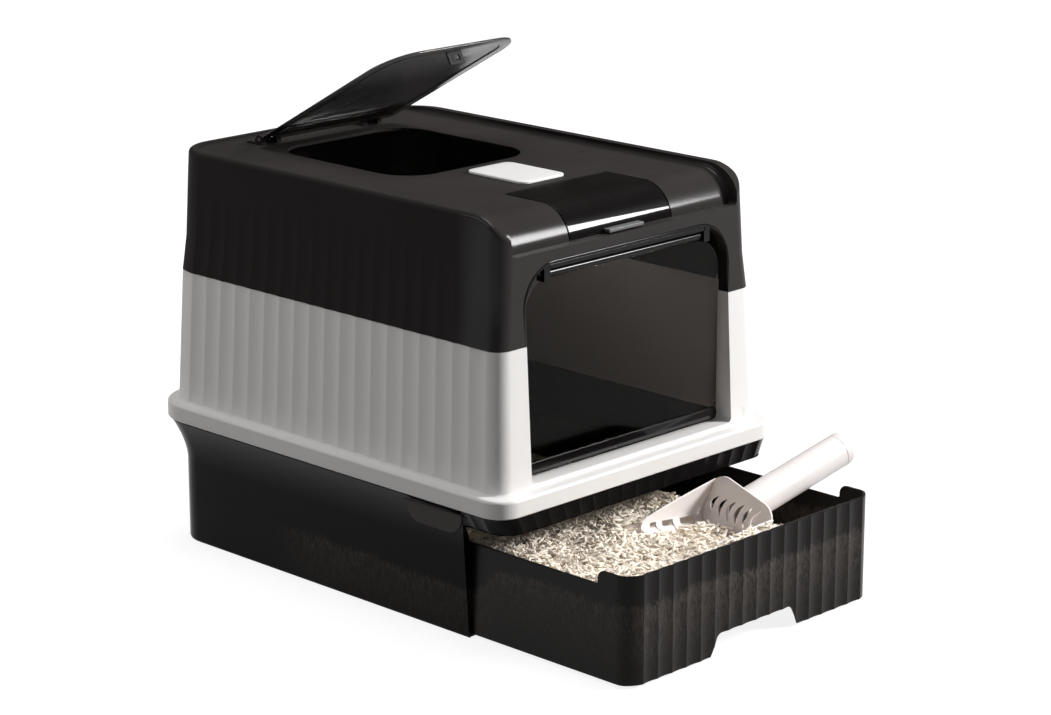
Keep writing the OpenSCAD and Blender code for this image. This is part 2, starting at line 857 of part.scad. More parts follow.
module top_lid() {
    color([0.16, 0.13, 0.12])
    lift_lid() difference() {
        union() {
            block(lid_x, lid_y0, lid_y1, lid_r, 12, lid_z, lid_z + lid_t);
            both_sides() {
                rod_x(barrel_x - barrel_w / 2, barrel_x + barrel_w / 2, axis_y, axis_z, barrel_r);
                box(barrel_x - barrel_w / 2, barrel_x + barrel_w / 2, lid_y1 - 10, axis_y, lid_z, lid_z + barrel_r);
            }
        }
        rod_x(-lid_x, lid_x, axis_y, axis_z, lid_pin_r + pin_play);
    }
}

// Keeper that the latch bolt slides through when the lid is shut
module lid_keeper() {
    color([0.16, 0.13, 0.12])
    lift_lid() difference() {
        box(-keeper_x, keeper_x, keeper_y, keeper_y + keeper_t, bolt_z0 - keeper_gap - keeper_low, lid_z);
        box(-bolt_x - keeper_gap, bolt_x + keeper_gap, keeper_y - 1, keeper_y + keeper_t + 1,
            bolt_z0 - keeper_gap, bolt_z1 + keeper_gap);
    }
}

module lid_pins() {
    half = barrel_w / 2 + ear_gap + ear_w;
    color([0.78, 0.78, 0.80])
    both_sides() rod_x(barrel_x - half, barrel_x + half, axis_y, axis_z, lid_pin_r);
}

// ---- latch ----

module latch_button() {
    z0 = deck_z + latch_gap;
    color([0.93, 0.92, 0.91])
    block(latch_w / 2, latch_y0, latch_y1, latch_r, latch_r, z0, z0 + latch_t);
}

module latch_bolt() {
    color([0.88, 0.88, 0.87]) {
        box(-post_x, post_x, post_y - post_l / 2, post_y + post_l / 2, bolt_z1, deck_z + latch_gap);
        box(-bolt_x, bolt_x, bolt_y0, bolt_y1, bolt_z0, bolt_z1);
    }
}

module latch_guide() {
    out = bolt_x + guide_gap + guide_t;
    color([0.10, 0.09, 0.09])
    difference() {
        box(-out, out, bolt_y0 - 3, hatch_y0 - 6, bolt_z0 - guide_gap - guide_t, deck_z - wall);
        box(-bolt_x - guide_gap, bolt_x + guide_gap, bolt_y0 - 4, hatch_y0, bolt_z0 - guide_gap, deck_z);
    }
}

// ---- visor ----

module visor_cover() {
    color([0.13, 0.11, 0.11])
    difference() {
        union() {
            difference() {
                across(visor_x) rolled(roll_front - 0.2, visor_y, ledge_z, visor_top, roll_r);
                across(visor_x + 1) rolled(roll_front - 0.2 + visor_t, visor_y + 1, ledge_z - 1,
                                           visor_top - visor_t, roll_r - visor_t);
                box(-visor_w, visor_w, rim_front, visor_y, 0, visor_low);
            }
            rod_x(-visor_x, visor_x, visor_y, knuckle_z, knuckle_r);
        }
        both_sides() rod_x(visor_x - visor_pin_in, visor_x + 1, visor_y, knuckle_z, visor_pin_r);
    }
}

module visor_pull() {
    color([0.42, 0.42, 0.42])
    difference() {
        box(-pull_x, pull_x, roll_front - pull_l, roll_front + 4, visor_low, visor_low + pull_h);
        across(visor_x) rolled(roll_front - 0.2, visor_y, ledge_z, visor_top, roll_r);
    }
}

module visor_pins() {
    color([0.78, 0.78, 0.80])
    both_sides() rod_x(visor_x - visor_pin_in, seat_x + visor_pin_out, visor_y, knuckle_z, visor_pin_r);
}

// ---- door ----

module door_brackets() {
    color([0.09, 0.08, 0.08])
    difference() {
        intersection() {
            both_sides() box(bracket_x, bracket_x + bracket_w, door_y - bracket_low, frame_back,
                             bar_z - bracket_low, door_top_z);
            doorway(0, rim_front, frame_back);
        }
        rod_x(-way_x, way_x, door_y, bar_z, door_pin_r + pin_play);
    }
}

module door_panel() {
    color([0.12, 0.10, 0.10])
    difference() {
        translate([0, door_y + door_t / 2, 0]) rotate([90, 0, 0]) linear_extrude(door_t)
            outline(door_x, door_low, door_top, door_r_low, door_r_top);
        rod_x(-way_x, way_x, door_y, bar_z, bar_r);
        both_sides() box(bracket_x - 3, way_x, door_y - door_t, door_y + door_t, bar_z - bracket_low - 4, door_top_z);
        box(-door_x - 1, door_x + 1, door_y - door_t, door_y + door_t, door_low - 1, door_low + strip_h - 3);
    }
}

module door_bar() {
    color([0.14, 0.12, 0.12])
    difference() {
        rod_x(-bar_l / 2, bar_l / 2, door_y, bar_z, bar_r);
        both_sides() rod_x(bar_l / 2 - 6, bar_l / 2 + 1, door_y, bar_z, door_pin_r);
    }
}

// Strip with a groove that holds the door's lower edge
module door_strip() {
    half = door_x - 1;
    color([0.08, 0.07, 0.07])
    difference() {
        box(-half, half, door_y - strip_t / 2, door_y + strip_t / 2, door_low, door_low + strip_h);
        box(-half - 1, half + 1, door_y - door_t / 2, door_y + door_t / 2, door_low + strip_h - 3,
            door_low + strip_h + 1);
    }
}

module door_pins() {
    color([0.85, 0.85, 0.85])
    both_sides() rod_x(bar_l / 2 - 6, bracket_x + bracket_w, door_y, bar_z, door_pin_r);
}

base_shell();
base_pads();
catch_left();
catch_right();
catch_pins();
drawer_tray();
litter_bed();
body_shell();
hood_shell();
deodoriser_tray();
deodoriser_block();
lid_brackets();
bracket_screws();
latch_guide();
latch_button();
latch_bolt();
top_lid();
lid_keeper();
lid_pins();
visor_cover();
visor_pull();
visor_pins();
door_brackets();
door_panel();
door_bar();
door_strip();
door_pins();
scoop_blade();
scoop_handle();
scoop_cap();
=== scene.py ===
import random
from math import acos, copysign, cos, degrees, exp, hypot, pi, radians, sin, sqrt, tan

import bmesh
import bpy
from mathutils import Matrix, Vector, noise


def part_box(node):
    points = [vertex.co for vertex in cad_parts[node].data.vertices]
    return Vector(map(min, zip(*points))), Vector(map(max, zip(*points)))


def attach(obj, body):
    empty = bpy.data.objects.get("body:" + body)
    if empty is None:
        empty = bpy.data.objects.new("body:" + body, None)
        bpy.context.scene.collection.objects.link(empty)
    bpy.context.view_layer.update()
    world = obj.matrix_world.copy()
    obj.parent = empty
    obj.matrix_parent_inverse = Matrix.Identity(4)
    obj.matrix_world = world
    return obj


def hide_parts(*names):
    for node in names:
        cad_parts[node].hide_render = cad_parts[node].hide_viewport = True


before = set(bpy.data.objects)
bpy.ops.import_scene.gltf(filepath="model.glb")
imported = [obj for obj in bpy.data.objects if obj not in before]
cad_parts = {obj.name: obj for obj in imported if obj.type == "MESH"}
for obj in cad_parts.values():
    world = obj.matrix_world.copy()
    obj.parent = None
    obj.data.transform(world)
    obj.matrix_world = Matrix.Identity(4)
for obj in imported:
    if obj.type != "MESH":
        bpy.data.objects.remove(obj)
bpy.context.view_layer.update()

# ---- Room ----
# A pale floor that runs out of sight and a long lens at hip height. The main soft box stands
# front right, and weaker ones hang overhead and rear left.

scene = bpy.context.scene
scene.view_settings.view_transform = "Standard"

camera = bpy.data.objects.new("camera", bpy.data.cameras.new("camera"))
scene.collection.objects.link(camera)
camera.data.sensor_width = 36
camera.data.lens = 105.1
camera.location = (-2.0781, -2.1310, 1.0322)
look_at = Vector((0, -0.094, 0.2197))
camera.rotation_euler = (look_at - camera.location).to_track_quat("-Z", "Y").to_euler()
scene.camera = camera


def soft_box(name, bearing, distance, width, height, watts):
    """Area lamp of that size, in a direction from the object's middle, facing it."""
    lamp = bpy.data.objects.new(name, bpy.data.lights.new(name, "AREA"))
    lamp.data.shape = "RECTANGLE"
    lamp.data.size = width
    lamp.data.size_y = height
    lamp.data.energy = watts
    direction = Vector(bearing).normalized()
    lamp.location = look_at + direction * distance
    lamp.rotation_euler = (-direction).to_track_quat("-Z", "Y").to_euler()
    scene.collection.objects.link(lamp)


soft_box("key_box", (0.64, -0.64, 0.46), 5.0, 0.85, 1.75, 343)
soft_box("top_box", (0.05, 0.1, 1.0), 4.0, 2.4, 2.4, 98)
soft_box("side_box", (-0.72, 0.52, 0.46), 3.0, 1.6, 0.9, 17)

world = bpy.data.worlds.new("studio")
scene.world = world
world.use_nodes = True


def add_node(tree, kind, values=None, **settings):
    """New node with its settings, and its inputs set to a value or linked to a socket."""
    made = tree.nodes.new(kind if kind.startswith("NodeGroup") else "ShaderNode" + kind)
    for key, value in settings.items():
        setattr(made, key, value)
    for key, value in (values or {}).items():
        if isinstance(value, bpy.types.NodeSocket):
            tree.links.new(value, made.inputs[key])
        else:
            made.inputs[key].default_value = value
    return made


def maths(tree, operation, *values):
    return add_node(tree, "Math", dict(enumerate(values)), operation=operation).outputs[0]


def product(tree, first, second):
    return maths(tree, "MULTIPLY", first, second)


def remap(tree, value, low, high, to_low=0.0, to_high=1.0):
    """Takes a value from one span to another, and holds it at the ends."""
    return add_node(tree, "MapRange", {0: value, 1: low, 2: high, 3: to_low, 4: to_high}).outputs[0]


def mix_colour(tree, factor, first, second):
    return add_node(tree, "Mix", {0: factor, 6: first, 7: second}, data_type="RGBA").outputs[2]


def new_material(name):
    made = bpy.data.materials.new(name)
    made.use_nodes = True
    made.node_tree.nodes.clear()
    return made


def new_object(name, bm):
    """Object from a bmesh, with its normals turned outward."""
    bmesh.ops.remove_doubles(bm, verts=bm.verts, dist=1e-6)
    bmesh.ops.dissolve_degenerate(bm, edges=bm.edges, dist=1e-7)
    bmesh.ops.recalc_face_normals(bm, faces=bm.faces)
    made = bpy.data.objects.new(name, bpy.data.meshes.new(name))
    bm.to_mesh(made.data)
    bm.free()
    scene.collection.objects.link(made)
    return made


white = (1, 1, 1, 1)
room_grey = (0.085, 0.085, 0.087, 1)
dark_corner = (0.012, 0.012, 0.012, 1)
corner_bearing = (0.68, 0.70, 0.20)
sky = world.node_tree
toward = add_node(sky, "TexCoord").outputs["Generated"]
aside = add_node(sky, "VectorMath", {0: toward, 1: corner_bearing}, operation="DOT_PRODUCT")
room = mix_colour(sky, remap(sky, aside.outputs["Value"], 0.80, 0.95), room_grey, dark_corner)
looked_at = add_node(sky, "LightPath").outputs["Is Camera Ray"]
sky.links.new(mix_colour(sky, looked_at, room, white), sky.nodes["Background"].inputs["Color"])

floor_bm = bmesh.new()
bmesh.ops.create_grid(floor_bm, x_segments=24, y_segments=24, size=16)
floor = new_object("floor", floor_bm)

floor_seen = (0.28, 0.28, 0.28, 1)
floor_unseen = (0.13, 0.13, 0.13, 1)
floor_glow = 0.86
floor_paint = new_material("floor_paint")
tree = floor_paint.node_tree
path = add_node(tree, "LightPath").outputs
seen = maths(tree, "MAXIMUM", path["Is Camera Ray"], path["Is Glossy Ray"])
seen = maths(tree, "MAXIMUM", seen, path["Is Transmission Ray"])
shade = add_node(tree, "BsdfDiffuse", {"Color": mix_colour(tree, seen, floor_unseen, floor_seen)}).outputs[0]
glow = add_node(tree, "Emission", {"Color": white, "Strength": floor_glow}).outputs[0]
lifted = add_node(tree, "AddShader", {0: shade, 1: glow}).outputs[0]
both = add_node(tree, "MixShader", {0: seen, 1: shade, 2: lifted}).outputs[0]
add_node(tree, "OutputMaterial", {"Surface": both})
floor.data.materials.append(floor_paint)

# ---- Base ----
# A smoked black tub, injection moulded in one piece: a floor, side and rear walls that flare
# into a collar, and a fluted beam that bridges the open front. It carries everything else.

base_wall = 0.003
base_half_w, base_front, base_back, base_r_back = 0.178, -0.194, 0.2415, 0.040
collar_half_w, collar_front, collar_back, collar_top = 0.1933, -0.2518, 0.2518, 0.147
collar_r_front, collar_r_back = 0.0218, 0.0468
collar_flute = 0.0011
beam_low = 0.114
flare_low, flare_high, flare_bow = 0.085, 0.130, 1.7
flute_cuts = (0.0, 0.06, 0.2, 0.35, 0.5, 0.65, 0.8, 0.94)


def plain(count):
    """Fractions along a smooth stretch of wall."""
    return [k / count for k in range(count)]


def fluted(count):
    """Fractions along a stretch of wall with that many flutes, closer together at their ridges."""
    return [(k + cut) / count for k in range(count) for cut in flute_cuts]


def hollow(fractions, count):
    """How deep each fraction lies in its flute: 0 on a ridge, 1 in the middle."""
    return [1 - (2 * ((t * count + 1e-9) % 1) - 1) ** 2 for t in fractions]


def between(start, stop, fraction):
    return start + (stop - start) * fraction


def clamped(fraction):
    return max(0.0, min(1.0, fraction))


def inset(form, by):
    """A form is half its width, its front, its back, and its front and rear corner radius."""
    half_w, front, back, r_front, r_back = form
    return (half_w - by, front + by, back - by, max(r_front - by, 0.0004), max(r_back - by, 0.0004))


def track(form, walls):
    """Places and outward normals round a rounded rectangle, anticlockwise from the front's left end."""
    half_w, front, back, r_front, r_back = form
    along_front, corner, side, rear, along_back = walls
    y_front, y_back = front + r_front, back - r_back

    def arc(y, r, turn, fractions):
        angles = [radians(turn + 90 * t) for t in fractions]
        return [(half_w - r + r * cos(a), y + r * sin(a), cos(a), sin(a)) for a in angles]

    right = arc(y_front, r_front, -90, corner)
    right += [(half_w, between(y_front, y_back, t), 1, 0) for t in side]
    right += arc(y_back, r_back, 0, rear + [1.0])
    left = [(-x, y, -nx, ny) for x, y, nx, ny in right[:0:-1]]
    stations = [(between(r_front - half_w, half_w - r_front, t), front, 0, -1) for t in along_front]
    stations += right[:-1]
    stations += [(between(half_w - r_back, r_back - half_w, t), back, 0, 1) for t in along_back]
    return stations + left


def all_round(along_front, corner, side, rear, along_back):
    """One value for each station of a track, from those of its front, corner, side, rear and back."""
    right = corner + side + rear
    return along_front + right + along_back + [along_back[0]] + right[:0:-1]


def flute_dips(walls, *flutes):
    """How deep each station of a track lies, from each stretch's number of flutes or own list."""
    return all_round(*(n if isinstance(n, list) else hollow(stretch, n) if n else [0.0] * len(stretch)
                       for stretch, n in zip(walls, flutes)))


def ring(stations, heights, dips=None, depth=0.0):
    """Points at the stations, at one height or one height each, set back by depth in the hollows."""
    if not isinstance(heights, list):
        heights = [heights] * len(stations)
    dips = dips or [0.0] * len(stations)
    return [(x - nx * depth * dip, y - ny * depth * dip, z)
            for (x, y, nx, ny), z, dip in zip(stations, heights, dips)]


def bridge(bm, low, high):
    """Faces between two closed rows of vertices."""
    for k in range(len(low)):
        j = (k + 1) % len(low)
        bm.faces.new((low[k], low[j], high[j], high[k]))


def skin(bm, rings, closed=True, caps=False):
    """Faces between rings of the same count, joined last to first or capped at both ends."""
    rows = [[bm.verts.new(point) for point in points] for points in rings]
    for low, high in zip(rows, rows[1:]):
        bridge(bm, low, high)
    if closed:
        bridge(bm, rows[-1], rows[0])
    if caps:
        bm.faces.new(rows[0])
        bm.faces.new(rows[-1])


def skinned(name, rings, closed=True, caps=False):
    bm = bmesh.new()
    skin(bm, rings, closed, caps)
    return new_object(name, bm)


def shade_smooth(piece, angle):
    """Smooth shading that keeps edges sharper than that angle."""
    piece.data.shade_smooth()
    piece.data.set_sharp_from_angle(angle=radians(angle))


def soften(piece, width, angle=35, segments=2):
    """Rounds the sharp edges and keeps flat faces flat."""
    bevel = piece.modifiers.new("edges", "BEVEL")
    bevel.width = width
    bevel.segments = segments
    bevel.limit_method = "ANGLE"
    bevel.angle_limit = radians(angle)
    bevel.use_clamp_overlap = True
    bevel.miter_outer = "MITER_ARC"
    weighted = piece.modifiers.new("flats", "WEIGHTED_NORMAL")
    weighted.keep_sharp = False
    piece.data.shade_smooth()


def put_on(piece, body, material, *nodes, slot=None):
    """Rides on its body, stands for its CAD nodes and takes its finish. The slot is not used."""
    piece.data.materials.clear()
    piece.data.materials.append(material)
    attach(piece, body)
    if nodes:
        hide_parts(*nodes)


def noise_at(tree, place, scale, detail, distortion=0.0):
    values = {"Vector": place, "Scale": scale, "Detail": detail, "Distortion": distortion}
    return add_node(tree, "TexNoise", values).outputs[0]


def object_place(tree):
    """Place in the object's own frame, and its X, Y and Z."""
    place = add_node(tree, "TexCoord").outputs["Object"]
    return place, add_node(tree, "SeparateXYZ", {0: place}).outputs


def moulded_skin_group():
    """Colour, roughness and height of moulded plastic: mottle, dust on top, smudges and hairlines."""
    made = bpy.data.node_groups.new("moulded_skin", "ShaderNodeTree")
    for label, value in (("Colour", (0.5, 0.5, 0.5, 1)), ("Mottle", 0.06), ("Dust", 0.05),
                         ("Dust Colour", (0.4, 0.37, 0.34, 1)), ("Roughness", 0.3), ("Smudge", 0.1),
                         ("Hairline", 0.05), ("Grain Size", 2200.0)):
        kind = "NodeSocketColor" if "Colour" in label else "NodeSocketFloat"
        made.interface.new_socket(label, in_out="INPUT", socket_type=kind).default_value = value
    for label, kind in (("Colour", "Color"), ("Roughness", "Float"), ("Height", "Float")):
        made.interface.new_socket(label, in_out="OUTPUT", socket_type="NodeSocket" + kind)
    given = add_node(made, "NodeGroupInput").outputs
    coordinates = add_node(made, "TexCoord").outputs
    place = coordinates["Object"]
    cloud = noise_at(made, place, 16.0, 5.0)
    speck = noise_at(made, place, 850.0, 3.0)
    smear = noise_at(made, place, 34.0, 3.0, 1.6)
    stretch = {"Vector": place, "Scale": (45.0, 900.0, 900.0), "Rotation": (0.3, 0.2, 0.5)}
    hair = noise_at(made, add_node(made, "Mapping", stretch).outputs[0], 1.0, 2.0)
    grain = noise_at(made, place, given["Grain Size"], 2.0)
    swing = product(made, maths(made, "SUBTRACT", cloud, 0.5), given["Mottle"])
    level = maths(made, "ADD", product(made, swing, 4.0), 1.0)
    tint = add_node(made, "VectorMath", {0: given["Colour"], "Scale": level}, operation="SCALE").outputs[0]
    upward = add_node(made, "SeparateXYZ", {0: coordinates["Normal"]}).outputs["Z"]
    lying = remap(made, upward, 0.55, 1.0)
    loose = product(made, remap(made, speck, 0.5, 0.75), 0.7)
    film = maths(made, "ADD", loose, product(made, cloud, 0.6))
    dust = product(made, product(made, film, lying), given["Dust"])
    rub = product(made, maths(made, "SUBTRACT", smear, 0.45), given["Smudge"])
    line = product(made, remap(made, hair, 0.66, 0.72), given["Hairline"])
    rough = maths(made, "ADD", given["Roughness"], maths(made, "ADD", rub, line))
    add_node(made, "NodeGroupOutput", {
        "Colour": mix_colour(made, dust, tint, given["Dust Colour"]),
        "Roughness": maths(made, "ADD", rough, product(made, dust, 0.8)),
        "Height": maths(made, "SUBTRACT", grain, product(made, line, 0.8))})
    return made


skin_group = moulded_skin_group()


def plastic(name, colour, roughness, bump, specular=0.5, grain=0.0002, tint=None, extra=None, **finish):
    """Moulded material. tint may change the group's colour, and extra sets more shader inputs."""
    made = new_material(name)
    tree = made.node_tree
    values = {"Colour": (*colour, 1), "Roughness": roughness}
    values.update({key.replace("_", " "): value for key, value in finish.items()})
    skin_node = add_node(tree, "Group", values, node_tree=skin_group).outputs
    relief = add_node(tree, "Bump", {"Strength": bump, "Distance": grain, "Height": skin_node["Height"]})
    shader = add_node(tree, "BsdfPrincipled", {
        "Base Color": tint(tree, skin_node["Colour"]) if tint else skin_node["Colour"],
        "Roughness": skin_node["Roughness"], "Specular IOR Level": specular, "Normal": relief.outputs[0],
        **(extra or {})})
    add_node(tree, "OutputMaterial", {"Surface": shader.outputs[0]})
    return made


# Colour painted on the smoked walls for the litter behind them, standing in for light coming through the
# plastic.
painted_glimpse_brown = (0.062, 0.050, 0.042, 1)
seen_top_rear, seen_top_front, seen_end_y = 0.031, 0.060, 0.085
fuzz_drift, fuzz_hairs, fuzz_edge = 0.024, 0.016, 0.006


def painted_litter_glimpse(tree, surface):
    """Painted view of the litter behind a smoked wall: a brighter brown band under the litter's fuzzy top,
    fading darker lower down, and higher in the drawer. It stands in for light coming through the plastic.
    """
    place, spot = object_place(tree)
    stretch = {"Vector": place, "Scale": (330, 330, 120), "Rotation": (0.35, 0, 0)}
    hairs = noise_at(tree, add_node(tree, "Mapping", stretch).outputs[0], 1.0, 4.0, 1.2)
    top = remap(tree, spot["Y"], -0.20, -0.23, seen_top_rear, seen_top_front)
    wavy = maths(tree, "MULTIPLY_ADD", noise_at(tree, place, 11.0, 2.0), fuzz_drift, top)
    ragged = maths(tree, "MULTIPLY_ADD", hairs, fuzz_hairs, wavy)
    under = maths(tree, "SUBTRACT", ragged, spot["Z"])
    edge = remap(tree, under, 0.0, fuzz_edge)
    # Painted shade: the litter's colour fades out lower down, below its lit top.
    fade = remap(tree, under, fuzz_edge, seen_top_front, 1.0, 0.15)
    ahead = remap(tree, spot["Y"], seen_end_y, 0.030)
    spots = remap(tree, hairs, 0.36, 0.66, 0.15, 1.0)
    amount = product(tree, product(tree, edge, fade), product(tree, ahead, spots))
    return mix_colour(tree, amount, surface, painted_glimpse_brown)


# The base's walls carry the painted view of the litter behind them.
base_smoke = plastic("base_smoke", (0.0060, 0.0053, 0.0052), 0.16, specular=0.045, bump=0.05,
                     tint=painted_litter_glimpse, Dust=0.015, Mottle=0.05)


def base_form(z):
    flare = clamped((z - flare_low) / (flare_high - flare_low)) ** flare_bow
    return (between(base_half_w, collar_half_w, flare), collar_front, between(base_back, collar_back, flare),
            collar_r_front, between(base_r_back, collar_r_back, flare))


side_from = collar_front + collar_r_front
joint = (base_front - side_from) / (base_back - base_r_back - side_from)
beam_side = [joint * t for t in fluted(2)] + [joint]
wall_side = [joint, joint + 0.03] + [between(joint + 0.06, 1, t) for t in plain(9)]
base_walls = (fluted(17), fluted(2), beam_side + wall_side, plain(14), plain(16))
base_count = len(track(base_form(0), base_walls))
beam_arm = len(base_walls[1]) + len(beam_side)
beam_stations = {*range(len(base_walls[0]) + beam_arm), *range(base_count - beam_arm + 1, base_count)}
base_dips = flute_dips(base_walls, 17, 2, hollow(fluted(2), 2) + [0.0] * (1 + len(wall_side)), 0, 0)


def base_ring(z, by=0.0, depth=0.0):
    """The wall at that height, or the beam's underside where the front is open below it."""
    beam_z = max(z, beam_low)
    wall, beam = (track(inset(base_form(height), by), base_walls) for height in (z, beam_z))
    return ring([beam[k] if k in beam_stations else wall[k] for k in range(base_count)],
                [beam_z if k in beam_stations else z for k in range(base_count)], base_dips, depth)


flare_zs = [between(flare_low, flare_high, t) for t in plain(12)]
base_rings = [base_ring(0.0, 0.0015), base_ring(0.0006, 0.0005)]
base_rings += [base_ring(z) for z in (0.002, 0.03, 0.06)]
base_rings += [base_ring(z, 0.0, collar_flute) for z in flare_zs + [flare_high]]
base_rings += [base_ring(z) for z in (flare_high + 0.001, collar_top)]
base_rings += [base_ring(z, base_wall) for z in [collar_top, flare_high] + flare_zs[::-1] + [0.03, 0.0028]]
base_skin = skinned("base_walls", base_rings)
shade_smooth(base_skin, 15)
put_on(base_skin, "root", base_smoke, "base_shell")

floor_gap = 0.0012
floor_r_front = 0.001
floor_form = (base_half_w - floor_gap, base_front + floor_r_front, base_back - floor_gap, floor_r_front,
              base_r_back - floor_gap)
floor_track = track(floor_form, (plain(2), plain(2), plain(4), plain(12), plain(4)))
floor_rings = [ring(floor_track, 0.0002), ring(floor_track, base_wall)]
tub_floor = skinned("base_floor", floor_rings, closed=False, caps=True)
soften(tub_floor, 0.0004)
put_on(tub_floor, "root", base_smoke)

# ---- Pads ----
# Four round rubber feet, punched from sheet and pressed flush into the base's underside.


def dress(node, material):
    """Gives a CAD node its finish and leaves its shape as it is."""
    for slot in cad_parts[node].material_slots:
        slot.material = material


pad_rubber = plastic("pad_rubber", (0.018, 0.017, 0.017), 0.75, specular=0.3, bump=0.5,
                     Mottle=0.2, Dust=0.3, Grain_Size=900.0)
dress("base_pads", pad_rubber)

# ---- Side catches ----
# Two half-oval flaps of dark grey plastic under the rim, one each side. Each hangs on a blackened
# steel pin in the base's collar, and a fingertip swings it out.

catch_grey = plastic("catch_grey", (0.052, 0.043, 0.043), 0.38, specular=0.10, bump=0.25,
                     Mottle=0.12, Dust=0.1)
pin_black = plastic("pin_black", (0.020, 0.019, 0.019), 0.35, specular=0.15, bump=0.1,
                    Mottle=0.1, Hairline=0.2)


def rounded_copy(name, node, body, material, width, segments=2, slot=None):
    """The node's own solid with its edges rounded, in its place."""
    bm = bmesh.new()
    bm.from_mesh(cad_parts[node].data)
    bmesh.ops.remove_doubles(bm, verts=bm.verts, dist=2e-6)
    bmesh.ops.dissolve_limit(bm, angle_limit=radians(1), verts=bm.verts, edges=bm.edges)
    made = new_object(name, bm)
    soften(made, width, segments=segments)
    put_on(made, body, material, node, slot=slot)


for side in ("left", "right"):
    rounded_copy("catch_flap_" + side, "catch_" + side, "catch_" + side, catch_grey, 0.0006)
dress("catch_pins", pin_black)

# ---- Litter drawer ----
# A smoked black tray, moulded in one piece on a raised floor. Its fluted front wall turns into
# an ear at each side, and a notch under it takes the fingers. It slides on the base's floor.

drawer_form = (0.174, -0.396, 0.0755, 0.018, 0.037)
drawer_wall, drawer_low = 0.0025, 0.0033
tray_low, tray_high = 0.026, 0.0285
wall_top, ear_top, ear_end = 0.0945, 0.108, -0.355
ear_r, foot_r = 0.008, 0.003
drawer_flute = 0.0011
notch_low_w, notch_high_w, notch_low, notch_high, notch_r = 0.0668, 0.053, -0.004, 0.024, 0.010

# The drawer's walls carry the painted view of the litter behind them.
drawer_smoke = plastic("drawer_smoke", (0.0080, 0.0068, 0.0063), 0.30, specular=0.095, bump=0.2,
                       tint=painted_litter_glimpse, Smudge=0.12, Dust=0.08, Mottle=0.08)


def ear_height(y):
    """Top of the side wall: an ear with a rounded rear corner and a small fillet at its foot."""
    if y <= ear_end - ear_r:
        return ear_top
    if y < ear_end:
        return ear_top - ear_r + sqrt(max(ear_r ** 2 - (y - ear_end + ear_r) ** 2, 0.0))
    if y < ear_end + foot_r:
        return wall_top + foot_r - sqrt(max(foot_r ** 2 - (ear_end + foot_r - y) ** 2, 0.0))
    return wall_top


side_start = drawer_form[1] + drawer_form[3]
side_run = drawer_form[2] - drawer_form[4] - side_start
ear_ys = [ear_end - ear_r + ear_r * sin(radians(a)) for a in (0, 20, 40, 55, 68, 80, 90)]
ear_ys += [ear_end + foot_r * (1 - cos(radians(a))) for a in (30, 60, 90)]
drawer_side = [0.0, 0.01] + [(y - side_start) / side_run for y in ear_ys]
drawer_side += [between(drawer_side[-1], 1, t) for t in plain(9)[1:]]
drawer_corner = [t * 0.75 for t in fluted(1)] + [0.75, 0.83, 0.92]
drawer_walls = (fluted(16), drawer_corner, drawer_side, plain(12), plain(8))
drawer_dips = flute_dips(drawer_walls, 16, hollow(fluted(1), 1) + [0.0] * 3, 0, 0, 0)
side_tops = [ear_height(side_start + side_run * t) for t in drawer_side]
drawer_tops = all_round([ear_top] * len(drawer_walls[0]), [ear_top] * len(drawer_corner), side_tops,
                        [wall_top] * 12, [wall_top] * 8)


def drawer_ring(z, by=0.0, below_top=None):
    heights = z if below_top is None else [top - below_top for top in drawer_tops]
    depth = drawer_flute if by < drawer_wall else drawer_flute * 0.8
    return ring(track(inset(drawer_form, by), drawer_walls), heights, drawer_dips, depth)


drawer_rings = [drawer_ring(z, by) for z, by in (
    (tray_low, drawer_wall), (drawer_low, drawer_wall), (drawer_low, 0.0006), (drawer_low + 0.0006, 0.0),
    (0.03, 0.0), (0.06, 0.0), (0.085, 0.0))]
drawer_rings += [drawer_ring(0, by, below) for by, below in (
    (0, 0.0009), (0.00026, 0.00026), (0.0009, 0), (0.0016, 0), (0.00224, 0.00026), (drawer_wall, 0.0009))]
drawer_rings += [drawer_ring(z, by) for z, by in (
    (0.085, drawer_wall), (tray_high + 0.003, drawer_wall), (tray_high + 0.0009, drawer_wall + 0.0009),
    (tray_high, drawer_wall + 0.003))]
tray = skinned("drawer_tray_skin", drawer_rings, closed=False, caps=True)


def prism(points, axis, start, stop, name="cutter"):
    """Solid that runs along that axis between two places, from an outline in the other two axes."""
    bm = bmesh.new()
    rows = []
    for place in (start, stop):
        rows.append([bm.verts.new({"x": (place, a, b), "y": (a, place, b), "z": (a, b, place)}[axis])
                     for a, b in points])
    bm.faces.new(rows[0])
    bm.faces.new(rows[1])
    bridge(bm, *rows)
    return new_object(name, bm)


def rounded_outline(corners):
    """Outline through corners (a, b, radius), each rounded by its own radius."""
    outline = []
    for k, (a, b, r) in enumerate(corners):
        here = Vector((a, b))
        before = (Vector(corners[k - 1][:2]) - here).normalized()
        after = (Vector(corners[(k + 1) % len(corners)][:2]) - here).normalized()
        if r < 1e-6:
            outline.append((a, b))
            continue
        half = before.angle(after) / 2
        centre = here + (before + after).normalized() * (r / sin(half))
        first = here + before * (r / tan(half)) - centre
        last = here + after * (r / tan(half)) - centre
        turn = first.angle_signed(last)
        steps = max(3, round(abs(degrees(turn)) / 7.5))
        for s in range(steps + 1):
            c, d = cos(-turn * s / steps), sin(-turn * s / steps)
            outline.append((centre.x + first.x * c - first.y * d, centre.y + first.x * d + first.y * c))
    return outline


def carve(piece, *tools, how="DIFFERENCE"):
    """Cuts the tools out of a piece, or joins them to it, and takes the tools away."""
    for tool in tools:
        step = piece.modifiers.new("carve", "BOOLEAN")
        step.operation = how
        step.solver = "EXACT"
        step.object = tool
        graph = bpy.context.evaluated_depsgraph_get()
        mesh = bpy.data.meshes.new_from_object(piece.evaluated_get(graph))
        piece.modifiers.clear()
        old = piece.data
        piece.data = mesh
        bpy.data.meshes.remove(old)
        bpy.data.objects.remove(tool)


